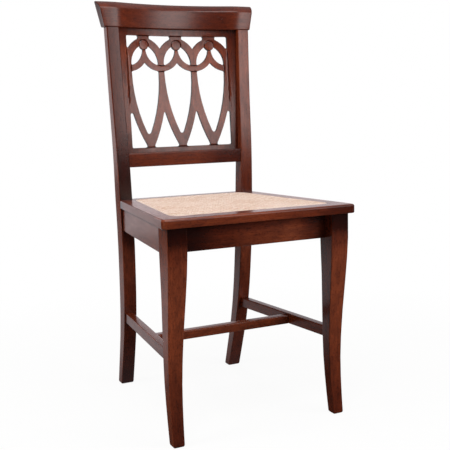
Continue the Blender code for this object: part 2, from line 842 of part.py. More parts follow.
def seat_cutters(shop):
    """The opening, the lip that the cane lies on, and the groove for the spline."""
    drop = CANE_THICKNESS + CLEARANCE
    through = SEAT_THICKNESS + OVERRUN * 2
    return [
        shop.cutter("seat_opening", plate_solid(OPENING_INSET, SEAT_HEIGHT + OVERRUN, through)),
        shop.cutter("seat_lip", plate_solid(GROOVE_WIDTH / 2, SEAT_HEIGHT + OVERRUN, OVERRUN + drop)),
        shop.cutter("seat_groove", ring_solid(0.0, GROOVE_WIDTH, SEAT_HEIGHT + OVERRUN,
                                              OVERRUN + SPLINE_DEPTH + CLEARANCE)),
    ]


def seat_edge_weight(inner_front, inner_rear):
    """Rounds the seat's nose fully and its side edges lightly, and no joint line."""

    def weight(first, second):
        middle = (first + second) / 2
        if abs(second.z - first.z) > CLEARANCE:
            return 0.0
        if abs(second.y - first.y) < WELD_DISTANCE and inner_front < middle.y < inner_rear:
            return 0.0
        if middle.y < SEAT_CORNER_RADIUS:
            return 1.0 if middle.z > SEAT_HEIGHT - SEAT_THICKNESS / 2 else SEAT_UNDERSIDE_SHARE
        if abs(middle.x) > seat_half_width(middle.y) - CLEARANCE * 2 or middle.y > SEAT_DEPTH - CLEARANCE:
            return ARRIS / SEAT_NOSE_RADIUS
        return 0.0

    return weight


def seat_member(shop, name, outline, cutters):
    """One member of the seat frame, rounded outside and opened for the cane."""
    placement = Matrix.Translation((0, 0, SEAT_HEIGHT - SEAT_THICKNESS / 2))
    member = shop.piece(name, flat_solid([outline], SEAT_THICKNESS, placement))
    join_flat_faces(member)
    soften(member, SEAT_NOSE_RADIUS, 4, seat_edge_weight(SEAT_CORNER_RADIUS, SEAT_DEPTH - CLEARANCE))
    for cutter in cutters:
        shop.cut(member, cutter)
    return member


def make_seat_frame(shop):
    """The four members of the seat frame, tenoned together."""
    cutters = seat_cutters(shop)
    front_joint = seat_joint(True)
    rear_joint = seat_joint(False)
    corner_radii = [SEAT_CORNER_RADIUS, SEAT_CORNER_RADIUS, 0.0, 0.0]
    front_points = [(-seat_half_width(0), 0.0), (seat_half_width(0), 0.0),
                    (seat_half_width(front_joint), front_joint), (-seat_half_width(front_joint), front_joint)]
    front = seat_member(shop, "seat_front", quad_outline(front_points, corner_radii), cutters)
    notch = rear_leg_at(SEAT_BOTTOM).inner - CLEARANCE
    stop = STILE_FRONT - CLEARANCE
    half = [(seat_half_width(rear_joint), rear_joint), (seat_half_width(stop), stop), (notch, stop),
            (notch, SEAT_DEPTH)]
    rear_outline = half + [(-x, y) for x, y in reversed(half)]
    rear = seat_member(shop, "seat_rear", rear_outline, cutters)
    for side, tag in ((1, "right"), (-1, "left")):
        make_seat_side(shop, side, tag, cutters, front, rear)
    return front


def make_seat_side(shop, side, tag, cutters, front, rear):
    """A side member of the seat frame, with stub tenons into the front and rear members."""
    near = seat_joint(True) + CLEARANCE
    far = seat_joint(False) - CLEARANCE
    spare = OPENING_INSET + OVERRUN
    outline = [(side * seat_half_width(near), near), (side * seat_half_width(far), far),
               (side * (cane_half_width(far) - spare), far), (side * (cane_half_width(near) - spare), near)]
    member = seat_member(shop, "seat_side_" + tag, outline, cutters)
    height = SEAT_BOTTOM + SEAT_TENON_LIFT + SEAT_TENON_THICKNESS / 2
    for mate, depth, out in ((front, near, -1), (rear, far, 1)):
        across = (seat_half_width(depth) + cane_half_width(depth) - OPENING_INSET) / 2
        root = Vector((side * across, depth, height))
        tenon = Tenon(root, Vector((0, out, 0)), SEAT_TENON_LENGTH, SEAT_TENON_WIDTH, SEAT_TENON_THICKNESS)
        add_tenon(shop, f"{member.name}_{mate.name}", member, mate, tenon)


def octagon(x, y):
    """One gap of the cane, an octagon with flats towards its neighbours."""
    corner = CANE_GAP / 2 / math.cos(math.pi / 8)
    angles = [math.pi / 8 + math.pi / 4 * index for index in range(8)]
    return [(x + corner * math.cos(a), y + corner * math.sin(a)) for a in angles]


def cane_gaps():
    """The octagonal gaps of the cane, on a square grid inside the opening."""
    margin = OPENING_INSET + CANE_MARGIN + CANE_GAP / 2
    front = CANE_FRONT_BORDER + margin
    rear = SEAT_DEPTH - CANE_REAR_BORDER - margin
    rows = int((rear - front) / CANE_PITCH)
    start = (front + rear - rows * CANE_PITCH) / 2
    gaps = []
    for row in range(rows + 1):
        depth = start + row * CANE_PITCH
        reach = cane_half_width(depth + CANE_GAP / 2) - margin
        columns = int(reach / CANE_PITCH)
        gaps += [octagon(column * CANE_PITCH, depth) for column in range(-columns, columns + 1)]
    return gaps


def make_cane(shop):
    """The woven cane with its edge turned down into the groove, and the spline that holds it."""
    edge = SPLINE_WIDTH + CLEARANCE * 2
    top = SEAT_HEIGHT
    net = flat_solid([cane_outline(edge)] + cane_gaps(), CANE_THICKNESS,
                     Matrix.Translation((0, 0, top - CANE_THICKNESS / 2)))
    cane = shop.piece("cane_panel", net)
    flange = shop.cutter("cane_flange", ring_solid(edge + CLEARANCE, edge + CANE_THICKNESS,
                                                   top - CANE_THICKNESS / 2, CANE_FLANGE))
    shop.combine(cane, flange, "UNION")
    finish(cane, CANE_COLOUR, CANE_ROUGHNESS)
    spline = shop.piece("cane_spline", ring_solid(CLEARANCE, SPLINE_WIDTH + CLEARANCE, top, SPLINE_DEPTH))
    soften(spline, CANE_THICKNESS / 2, 1, lambda a, b: 1.0 if min(a.z, b.z) > top - CLEARANCE else 0.0)
    finish(spline, CANE_COLOUR, CANE_ROUGHNESS)


# Stretchers

def make_cross_stretcher(shop, stretchers):
    """The stretcher between the side stretchers, flush below and a little lower on top."""
    line = side_stretcher_line()
    low = STRETCHER_BOTTOM
    high = low + CROSS_STRETCHER_HEIGHT

    def reach(depth):
        return line.outer(depth) - line.wide - CLEARANCE

    def corner(right, back, top):
        depth = CROSS_STRETCHER_CENTRE + CROSS_STRETCHER_WIDTH / 2 * (1 if back else -1)
        return (reach(depth) if right else -reach(depth), depth, high if top else low)

    member = shop.piece("cross_stretcher", block(corner))
    soften(member, ARRIS, 2, long_edges(Vector((1, 0, 0))))
    for side, mate in stretchers.items():
        root = Vector((side * reach(CROSS_STRETCHER_CENTRE), CROSS_STRETCHER_CENTRE, (low + high) / 2))
        tenon = Tenon(root, Vector((side, 0, 0)), CROSS_TENON_LENGTH, STRETCHER_TENON_THICKNESS,
                      CROSS_TENON_HEIGHT)
        add_tenon(shop, "cross_" + mate.name, member, mate, tenon)


# Back

def make_back_rail(shop, legs):
    """The straight lower rail of the back."""
    low = BACK_RAIL_BOTTOM
    high = BACK_RAIL_TOP
    middle = (low + high) / 2
    front = rear_leg_at(middle).front + BACK_RAIL_SETBACK

    def corner(right, back, top):
        height = high if top else low
        reach = rear_leg_at(height).inner - CLEARANCE
        return (reach if right else -reach, front + (BACK_RAIL_THICKNESS if back else 0.0), height)

    rail = shop.piece("lower_back_rail", block(corner))
    soften(rail, ARRIS, 2, long_edges(Vector((1, 0, 0))))
    for side, leg in legs.items():
        root = Vector((side * (rear_leg_at(middle).inner - CLEARANCE), front + BACK_RAIL_THICKNESS / 2, middle))
        tenon = Tenon(root, Vector((side, 0, 0)), BACK_TENON_LENGTH, BACK_TENON_THICKNESS, BACK_TENON_HEIGHT)
        add_tenon(shop, "back_" + leg.name, rail, leg, tenon)
    return rail


def crest_sweep(x):
    """How far back the crest's face lies at a distance from the middle: level past the stiles."""
    half = rear_leg_at(CREST_BOTTOM).inner
    arc = CREST_SWEEP * (1 - (x / half) ** 2)
    return (arc + math.hypot(arc, CREST_BLEND)) / 2


def crest_section():
    """The crest's slice: depth behind its lower front edge, and height above its underside."""
    shoulder = CREST_HEIGHT - CREST_ROLL_HEIGHT
    points = [(CREST_ARRIS, 0.0), (0.0, CREST_ARRIS)]
    for step in range(CREST_ROLL_STEPS + 1):
        angle = math.pi / 2 * step / CREST_ROLL_STEPS
        back = 1 - max(0.0, math.cos(angle)) ** CREST_ROLL_POWER
        points.append((CREST_LEAN + CREST_ROLL_DEPTH * back,
                       shoulder + CREST_ROLL_HEIGHT * math.sin(angle) ** CREST_ROLL_POWER))
    points += [(CREST_TOP_THICKNESS - CREST_ARRIS, CREST_HEIGHT),
               (CREST_TOP_THICKNESS, CREST_HEIGHT - CREST_ARRIS),
               (CREST_THICKNESS, CREST_ARRIS), (CREST_THICKNESS - CREST_ARRIS, 0.0)]
    return points


def make_crest(shop):
    """The crest rail: dished between the stiles, rolled back on top, flared at its ends."""
    face = rear_leg_at(CREST_BOTTOM).front + CREST_SETBACK
    half = STILE_TOP_HALF_SPAN + CREST_OVERHANG
    shoulder = CREST_HEIGHT - CREST_ROLL_HEIGHT
    rings = []
    for share in np.linspace(-1, 1, CREST_STATIONS):
        ring = []
        for back, rise in crest_section():
            flare = CREST_FLARE * min(rise / shoulder, 1.0)
            flare += CREST_ROLL_FLARE * max(rise - shoulder, 0.0) / CREST_ROLL_HEIGHT
            x = float(share) * (half + flare)
            ring.append((x, face + crest_sweep(x) + back, CREST_BOTTOM + rise))
        rings.append(ring)
    crest = shop.piece("crest_rail", loft(rings))
    soften(crest, CREST_END_RADIUS, 2, lambda a, b: 1.0 if min(abs(a.x), abs(b.x)) > half - CLEARANCE else 0.0)
    return crest


def panel_face(x, height):
    """The depth of the panel's front face, dished more the higher it goes."""
    rise = (height - BACK_RAIL_TOP) / (CREST_BOTTOM - BACK_RAIL_TOP)
    low = rear_leg_at(BACK_RAIL_TOP).front + PANEL_BOTTOM_RECESS
    high = rear_leg_at(CREST_BOTTOM).front + PANEL_TOP_RECESS
    dish = PANEL_SWEEP * (height - PANEL_LOW) / (CREST_BOTTOM - PANEL_LOW)
    half = rear_leg_at(CREST_BOTTOM).inner
    return low + (high - low) * rise + dish * (1 - (x / half) ** 2)


def panel_outline(grow):
    """The panel's board, let into the stiles, the lower rail and the crest."""
    low = PANEL_LOW + CLEARANCE - grow
    high = PANEL_HIGH - CLEARANCE + grow
    reach = PANEL_TONGUE - CLEARANCE + grow
    half = [(rear_leg_at(low).inner + reach, low), (rear_leg_at(high).inner + reach, high)]
    return half + [(-x, y) for x, y in reversed(half)]


def mirrored_outline(outline):
    """An outline reflected in the panel's middle line."""
    return [(-x, y) for x, y in reversed(outline)]


@dataclass(frozen=True)
class Bay:
    """One arched bay of the fretwork, about its own middle line."""

    middle: float

    def at(self, x, height):
        """A point from its distances to the bay's middle and the window's foot."""
        return Vector((self.middle + x, WINDOW_BOTTOM + height))

    def arch(self, side, radius, within):
        """The arch ribbon's edge on one side of the bay."""
        return Round(self.at(-side * ARCH_CENTRE_OFFSET, ARCH_CENTRE_HEIGHT), radius, within)

    def swag(self, side, radius, within):
        """An edge of the swag that hangs across one side of the bay."""
        return Round(self.at(side * BAY_PITCH / 2, SWAG_CENTRE_HEIGHT), radius, within)

    def lancet_side(self, side):
        """The inner edge of the lancet's ribbon."""
        centre = self.at(side * (LANCET_HALF_WIDTH - LANCET_RADIUS), LANCET_CENTRE_HEIGHT)
        return Round(centre, LANCET_RADIUS, True)

    def ribbon_side(self, side):
        """The outer edge of the lancet's ribbon, whose foot leans towards the panel's middle."""
        lean = side * self.middle * RIBBON_LEAN_SHARE
        centre = self.at(side * (LANCET_HALF_WIDTH - LANCET_RADIUS), LANCET_CENTRE_HEIGHT + lean)
        return Round(centre, LANCET_RADIUS + LANCET_RIBBON, False)

    def lancet_hole(self):
        """The tall pointed gap under the swags."""
        shoulder = SWAG_CENTRE_HEIGHT - SWAG_OUTER_RADIUS
        return rounded([
            (self.lancet_side(1), self.at(LANCET_HALF_WIDTH, shoulder), CORNER_RADIUS),
            (self.swag(1, SWAG_OUTER_RADIUS, False), self.at(0.0, shoulder), NOTCH_RADIUS),
            (self.swag(-1, SWAG_OUTER_RADIUS, False), self.at(-LANCET_HALF_WIDTH, shoulder), CORNER_RADIUS),
            (self.lancet_side(-1), self.at(0.0, 0.0), TIP_RADIUS),
        ])

    def ear_hole(self):
        """The leaf-shaped gap between arch, swag and button, on the right of the bay."""
        button = Round(self.at(0.0, BUTTON_HEIGHT), BUTTON_RADIUS, False)
        under = BUTTON_HEIGHT - BUTTON_RADIUS
        swag_foot = self.at(BAY_PITCH / 2, SWAG_CENTRE_HEIGHT - SWAG_INNER_RADIUS)
        return rounded([
            (self.arch(1, ARCH_INNER_RADIUS, True), self.at(BUTTON_RADIUS, under), NOTCH_RADIUS),
            (button, self.at(BUTTON_RADIUS / 2, under), NOTCH_RADIUS),
            (self.swag(1, SWAG_INNER_RADIUS, True), swag_foot, CORNER_RADIUS),
        ])

    def junction(self, side):
        """The side of the block that ties the arch to the top bar."""
        return Line(self.at(side * JUNCTION_HALF_WIDTH, WINDOW_HEIGHT), Vector((0, -side)))


def top_line():
    """The window's upper edge."""
    return Line(Vector((0, WINDOW_TOP)), Vector((-1, 0)))


def bottom_line():
    """The window's lower edge."""
    return Line(Vector((0, WINDOW_BOTTOM)), Vector((1, 0)))


def top_gap(left, right):
    """The gap between two arches, under the top bar."""
    rise = ARCH_CENTRE_HEIGHT + ARCH_OUTER_RADIUS
    crossing = left.at(BAY_PITCH / 2, ARCH_CENTRE_HEIGHT + BAY_PITCH / 2)
    return rounded([
        (right.junction(-1), right.at(-JUNCTION_HALF_WIDTH, WINDOW_HEIGHT), CORNER_RADIUS),
        (top_line(), left.at(JUNCTION_HALF_WIDTH, WINDOW_HEIGHT), CORNER_RADIUS),
        (left.junction(1), left.at(JUNCTION_HALF_WIDTH, rise), NOTCH_RADIUS),
        (left.arch(1, ARCH_OUTER_RADIUS, False), crossing, NOTCH_RADIUS),
        (right.arch(-1, ARCH_OUTER_RADIUS, False), right.at(-JUNCTION_HALF_WIDTH, rise), NOTCH_RADIUS),
    ])


def top_corner_gap(bay):
    """The gap in the window's upper right corner."""
    side = Line(Vector((WINDOW_WIDTH / 2, WINDOW_BOTTOM)), Vector((0, 1)))
    rise = ARCH_CENTRE_HEIGHT + ARCH_OUTER_RADIUS
    foot = Vector((WINDOW_WIDTH / 2, WINDOW_BOTTOM + ARCH_CENTRE_HEIGHT + ARCH_OUTER_RADIUS / 2))
    return rounded([
        (side, (WINDOW_WIDTH / 2, WINDOW_TOP), CORNER_RADIUS),
        (top_line(), bay.at(JUNCTION_HALF_WIDTH, WINDOW_HEIGHT), CORNER_RADIUS),
        (bay.junction(1), bay.at(JUNCTION_HALF_WIDTH, rise), NOTCH_RADIUS),
        (bay.arch(1, ARCH_OUTER_RADIUS, False), foot, CORNER_RADIUS),
    ])


def bottom_gap(left, right):
    """The gap between two lancets, over the bottom bar."""
    crown = left.at(BAY_PITCH / 2, LANCET_CENTRE_HEIGHT / 2)
    return rounded([
        (bottom_line(), right.at(0.0, 0.0), FOOT_RADIUS),
        (right.ribbon_side(-1), crown, CROWN_RADIUS),
        (left.ribbon_side(1), left.at(0.0, 0.0), FOOT_RADIUS),
    ])


def bottom_corner_gap(bay):
    """The gap in the window's lower right corner."""
    side = Line(Vector((WINDOW_WIDTH / 2, WINDOW_BOTTOM)), Vector((0, 1)))
    crown = Vector((WINDOW_WIDTH / 2, WINDOW_BOTTOM + LANCET_CENTRE_HEIGHT / 2))
    return rounded([
        (bottom_line(), (WINDOW_WIDTH / 2, WINDOW_BOTTOM), FOOT_RADIUS),
        (side, crown, SIDE_CROWN_RADIUS),
        (bay.ribbon_side(1), bay.at(0.0, 0.0), FOOT_RADIUS),
    ])


def fretwork_holes():
    """Every gap of the fretwork: bays, then what lies between and beside them."""
    bays = [Bay((index - (BAYS - 1) / 2) * BAY_PITCH) for index in range(BAYS)]
    holes = []
    for bay in bays:
        opposite = Bay(-bay.middle)
        holes += [bay.lancet_hole(), bay.ear_hole(), mirrored_outline(opposite.ear_hole())]
    for left, right in zip(bays, bays[1:]):
        holes += [top_gap(left, right), bottom_gap(left, right)]
    for corner_gap in (top_corner_gap(bays[-1]), bottom_corner_gap(bays[-1])):
        holes += [corner_gap, mirrored_outline(corner_gap)]
    return bays, holes


def groove_bars(bays):
    """Where the straight grooves run, as pairs of ends in the panel's flat plane."""
    swag_top = WINDOW_BOTTOM + SWAG_CENTRE_HEIGHT - SWAG_INNER_RADIUS
    swag_foot = WINDOW_BOTTOM + SWAG_CENTRE_HEIGHT - SWAG_OUTER_RADIUS
    post = BAY_PITCH / 2 - LANCET_HALF_WIDTH + GROOVE_RUN
    edge = WINDOW_WIDTH / 2
    runs = []
    for bay in bays:
        tie = JUNCTION_HALF_WIDTH + GROOVE_RUN
        foot = JUNCTION_HALF_WIDTH
        runs.append(((bay.middle - tie, WINDOW_TOP), (bay.middle + tie, WINDOW_TOP)))
        runs.append(((bay.middle - foot, WINDOW_BOTTOM), (bay.middle + foot, WINDOW_BOTTOM)))
    for left, right in zip(bays, bays[1:]):
        middle = (left.middle + right.middle) / 2
        for height in (swag_top, swag_foot):
            runs.append(((middle - post, height), (middle + post, height)))
    last = bays[-1].middle
    reach = edge - last + ARCH_CENTRE_OFFSET
    arch_meets = ARCH_CENTRE_HEIGHT + math.sqrt(ARCH_OUTER_RADIUS ** 2 - reach ** 2)
    spread = edge - last - LANCET_HALF_WIDTH + LANCET_RADIUS
    ribbon_meets = LANCET_CENTRE_HEIGHT - math.sqrt((LANCET_RADIUS + LANCET_RIBBON) ** 2 - spread ** 2)
    for side in (1, -1):
        runs.append(((side * edge, WINDOW_BOTTOM + ribbon_meets - GROOVE_RUN),
                     (side * edge, WINDOW_BOTTOM + arch_meets + GROOVE_RUN)))
        post_line = side * (last + LANCET_HALF_WIDTH)
        runs.append(((post_line, swag_foot - GROOVE_RUN), (post_line, swag_top + GROOVE_RUN)))
    return runs


def groove_cutter(shop, bays):
    """One cutter for every V groove: straight bars on edge, and a ring round each button."""
    surface = -PANEL_THICKNESS / 2 - GROOVE_LIFT
    shape = bmesh.new()
    for (x1, z1), (x2, z2) in groove_bars(bays):
        start = Vector((x1, surface, z1))
        run = Vector((x2 - x1, 0, z2 - z1))
        side = run.normalized().cross(Vector((0, 1, 0)))
        reach = GROOVE_DEPTH + GROOVE_LIFT
        deep = (side + Vector((0, 1, 0))) * (reach / 2)
        wide = (side - Vector((0, 1, 0))) * (reach / 2)
        shape.from_mesh(bar(start + run / 2, run / 2, deep, wide))
    for bay in bays:
        shape.from_mesh(ring_groove(bay, surface))
    return shop.cutter("fretwork_grooves", mesh_from("grooves", shape))


def ring_groove(bay, surface):
    """The V groove round a button, as a four-sided ring."""
    bpy.ops.mesh.primitive_torus_add(
        major_radius=BUTTON_RADIUS, minor_radius=GROOVE_DEPTH + GROOVE_LIFT,
        major_segments=RING_STEPS, minor_segments=4,
        location=(bay.middle, surface, WINDOW_BOTTOM + BUTTON_HEIGHT), rotation=(math.pi / 2, 0, 0))
    ring = bpy.context.object
    bpy.context.view_layer.update()
    mesh = ring.data.copy()
    mesh.transform(ring.matrix_world)
    bpy.data.objects.remove(ring, do_unlink=True)
    return mesh


def bend_panel(mesh, name):
    """Slices a flat board into strips and courses, and moves each point back to the dished face."""
    shape = bmesh.new()
    shape.from_mesh(mesh)
    reach = rear_leg_at(CREST_BOTTOM).inner
    cuts = []
    for index in range(1, PANEL_STRIPS):
        cuts.append((Vector((reach * (2 * index / PANEL_STRIPS - 1), 0, 0)), Vector((1, 0, 0))))
    for index in range(1, PANEL_COURSES):
        height = PANEL_LOW + (PANEL_HIGH - PANEL_LOW) * index / PANEL_COURSES
        cuts.append((Vector((0, 0, height)), Vector((0, 0, 1))))
    for place, normal in cuts:
        everything = shape.verts[:] + shape.edges[:] + shape.faces[:]
        bmesh.ops.bisect_plane(shape, geom=everything, plane_co=place, plane_no=normal, dist=WELD_DISTANCE)
    for vertex in shape.verts:
        vertex.co.y += panel_face(vertex.co.x, vertex.co.z) + PANEL_THICKNESS / 2
    bmesh.ops.triangulate(shape, faces=shape.faces)
    return mesh_from(name, shape)


def make_panel(shop):
    """The pierced panel, and the housing that it needs in what holds it."""
    upright = Matrix.Rotation(math.pi / 2, 4, "X")
    bays, holes = fretwork_holes()
    flat = shop.cutter("panel_blank", flat_solid([panel_outline(0.0)] + holes, PANEL_THICKNESS, upright))
    shop.cut(flat, groove_cutter(shop, bays))
    panel = shop.piece("fretwork_panel", bend_panel(shop.evaluated(flat), "panel"))
    room = flat_solid([panel_outline(CLEARANCE)], PANEL_THICKNESS + PANEL_SLACK * 2, upright)
    housing = shop.cutter("panel_housing", bend_panel(room, "housing"))
    return panel, housing


def make_stile_tenon(shop, side, leg, crest):
    """The tenon on top of a stile, up into the crest."""
    top = rear_leg_at(CREST_BOTTOM)
    root = Vector((side * (top.outer + top.inner) / 2, (top.front + top.rear) / 2, CREST_BOTTOM - CLEARANCE))
    tenon = Tenon(root, Vector((0, 0, 1)), STILE_TENON_LENGTH, STILE_TENON_WIDTH, STILE_TENON_THICKNESS)
    add_tenon(shop, leg.name + "_crest", leg, crest, tenon)


# Assembly

def build_chair():
    """Makes every piece of the chair, legs first, then what joins them."""
    clear_scene()
    shop = Workshop("beech_chair")
    sides = {1: "right", -1: "left"}
    front_legs = {side: make_front_leg(shop, side, tag) for side, tag in sides.items()}
    rear_legs = {side: make_rear_leg(shop, side, tag) for side, tag in sides.items()}

    front_face = front_leg_at(RAIL_BOTTOM).rear
    make_cross_rail(shop, "front_rail", front_legs, front_leg_at, front_face - RAIL_THICKNESS, front_face,
                    False)
    make_cross_rail(shop, "rear_rail", rear_legs, rear_leg_at, STILE_FRONT, STILE_FRONT + RAIL_THICKNESS, False)

    rail_line = side_rail_line()
    rail_tenon = (RAIL_TENON_LENGTH, RAIL_TENON_THICKNESS, RAIL_TENON_HEIGHT)
    rail_lift = (RAIL_TENON_HEIGHT + RAIL_TENON_GAP) / 2
    stretcher_tenon = (STRETCHER_TENON_LENGTH, STRETCHER_TENON_THICKNESS, STRETCHER_TENON_HEIGHT)
    stretchers = {}
    for side, tag in sides.items():
        legs = (front_legs[side], rear_legs[side])
        make_side_member(shop, "side_rail_" + tag, side, rail_line, RAIL_BOTTOM, SEAT_BOTTOM - CLEARANCE,
                         rail_tenon, rail_lift, legs)
        stretchers[side] = make_side_member(shop, "side_stretcher_" + tag, side, side_stretcher_line(),
                                            STRETCHER_BOTTOM, STRETCHER_TOP, stretcher_tenon, 0.0, legs)
        make_corner_block(shop, "corner_block_front_" + tag, side, front_face, 1, rail_line)
        make_corner_block(shop, "corner_block_rear_" + tag, side, STILE_FRONT, -1, rail_line)
    make_cross_stretcher(shop, stretchers)

    seat_front = make_seat_frame(shop)
    make_cane(shop)

    back_rail = make_back_rail(shop, rear_legs)
    crest = make_crest(shop)
    panel, housing = make_panel(shop)
    for side, leg in rear_legs.items():
        make_stile_tenon(shop, side, leg, crest)
        shop.cut(leg, housing)
    for holder in (back_rail, crest):
        shop.cut(holder, housing)
    shop.centre(seat_front, rear_legs[1])


build_chair()
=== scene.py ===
"""Studio picture of a side chair in stained beech, with a woven cane seat and a pierced back.

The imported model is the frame, in metres, with +Z up and the sitter facing -Y. Its
wooden pieces stay as they are and get their finish here. The cane is woven strand by
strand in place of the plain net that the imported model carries, and the corner blocks
get the heads of their screws.
"""

from __future__ import annotations

import json
import logging
import math
from dataclasses import dataclass
from enum import Enum
from typing import Any

import bmesh
import bpy
import numpy as np
from mathutils import Matrix, Vector

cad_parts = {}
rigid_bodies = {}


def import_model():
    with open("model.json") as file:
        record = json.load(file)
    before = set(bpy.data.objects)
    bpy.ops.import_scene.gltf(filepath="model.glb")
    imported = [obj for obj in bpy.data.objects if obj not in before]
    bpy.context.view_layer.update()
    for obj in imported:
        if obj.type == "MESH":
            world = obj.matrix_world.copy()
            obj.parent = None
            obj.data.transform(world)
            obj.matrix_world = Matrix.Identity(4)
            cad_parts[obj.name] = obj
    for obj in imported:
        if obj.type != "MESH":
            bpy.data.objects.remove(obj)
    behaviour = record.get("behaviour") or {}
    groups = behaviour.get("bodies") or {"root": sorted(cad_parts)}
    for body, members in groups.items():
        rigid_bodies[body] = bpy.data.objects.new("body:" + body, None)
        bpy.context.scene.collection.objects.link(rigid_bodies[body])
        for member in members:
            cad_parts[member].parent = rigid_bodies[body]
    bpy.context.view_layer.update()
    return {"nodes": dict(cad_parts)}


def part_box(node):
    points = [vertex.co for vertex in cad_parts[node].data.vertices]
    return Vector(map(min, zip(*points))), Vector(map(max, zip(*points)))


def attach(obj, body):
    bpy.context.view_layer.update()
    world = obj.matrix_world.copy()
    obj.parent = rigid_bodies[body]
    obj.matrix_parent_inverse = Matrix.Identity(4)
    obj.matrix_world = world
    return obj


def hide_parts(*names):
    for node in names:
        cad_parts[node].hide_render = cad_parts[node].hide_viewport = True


log = logging.getLogger("side_chair")

MM = 0.001
ROOT = "root"

# a mix node's sockets: two colours and what comes of them, then two plain values
COLOUR_A, COLOUR_B, MIXED = 6, 7, 2
VALUE_A, VALUE_B = 2, 3

Colour = tuple[float, float, float, float]
Point = tuple[float, float, float]
Span = tuple[float, float]
Stops = tuple[tuple[float, float], ...]
Face = tuple[int, ...]
Tree = bpy.types.NodeTree
Socket = bpy.types.NodeSocket


# Small helpers

def linear(code: str) -> Colour:
    """Turns an sRGB hex colour into a linear one, by the standard's curve.

    Args:
        code: The colour as "#rrggbb".

    Returns:
        Red, green, blue and alpha for a shader socket.
    """
    shares = [int(code[place:place + 2], 16) / 255 for place in (1, 3, 5)]
    values = [s / 12.92 if s <= 0.04045 else ((s + 0.055) / 1.055) ** 2.4 for s in shares]
    return values[0], values[1], values[2], 1.0


def add_node(tree: Tree, kind: str, inputs: dict[str | int, Any] | list[Any] | None = None,
             **settings: Any) -> bpy.types.Node:
    """Adds one node with its settings, values and incoming links.

    Args:
        tree: The node tree that gets it.
        kind: The node's type name.
        inputs: Values, or the sockets that feed it, by socket name or number, or as a list
            in the order of its sockets.
        **settings: Properties of the node itself.

    Returns:
        The new node.
    """
    node = tree.nodes.new(kind)
    for name, value in settings.items():
        setattr(node, name, value)
    named = dict(enumerate(inputs)) if isinstance(inputs, list) else inputs or {}
    for name, value in named.items():
        if isinstance(value, Socket):
            tree.links.new(value, node.inputs[name])
        else:
            node.inputs[name].default_value = value
    return node


def set_stops(ramp: bpy.types.ColorRamp, stops: list[tuple[float, Colour]]) -> None:
    """Gives a colour ramp its stops.

    Args:
        ramp: The ramp, which starts with two stops.
        stops: Each stop's place, from 0 to 1, and its colour.
    """
    while len(ramp.elements) < len(stops):
        ramp.elements.new(0.5)
    for element, (place, colour) in zip(ramp.elements, stops):
        element.position = place
        element.color = colour


def blank_material(name: str) -> tuple[bpy.types.Material, Tree, bpy.types.Node]:
    """Makes a material with an empty tree and its output.

    Args:
        name: The material's name.

    Returns:
        The material, its tree and the output node.
    """
    material = bpy.data.materials.new(name)
    material.use_nodes = True
    tree = material.node_tree
    tree.nodes.clear()
    output = add_node(tree, "ShaderNodeOutputMaterial")
    return material, tree, output


def dress(item: bpy.types.Object, material: bpy.types.Material) -> None:
    """Gives a piece one material.

    Args:
        item: The piece.
        material: What it is finished in.
    """
    item.data.materials.clear()
    item.data.materials.append(material)


# Finishes

class Grain(Enum):
    """The way a board's fibres run."""

    ALONG_X = "x"
    ALONG_Y = "y"
    ALONG_Z = "z"


@dataclass(frozen=True)
class Board:
    """How one board lies, and how dark its toner and painted shade are along it.

    The toner goes on thickly at the joints and thinly in between, and painted shade is laid
    over it where shadows fall and where less light reached the board. Each stop is a place,
    from 0 at the board's low end to 1, and the share of light that toner and painted shade
    let through. Where sides isn't 0, the ramps darken the front faces only, as painted shade
    there, and the sides have that share.
    """

    grain: Grain
    toner: Stops = ((0.0, 0.30), (0.2, 0.44), (0.8, 0.44), (1.0, 0.30))
    # a second ramp across the board, used for painted shadow lines and shade along its edges
    across: Stops = ()
    across_axis: Grain = Grain.ALONG_X
    turn: float = 0.0
    routed: bool = False
    square: bool = True
    open_ends: float = 0.5
    # share kept on the side faces, where the ramps paint shade on the front faces only
    sides: float = 0.0


@dataclass(frozen=True)
class Figure:
    """One noise in the wood: its real size, and how many finer layers it has."""

    across_mm: float
    along_mm: float
    detail: float


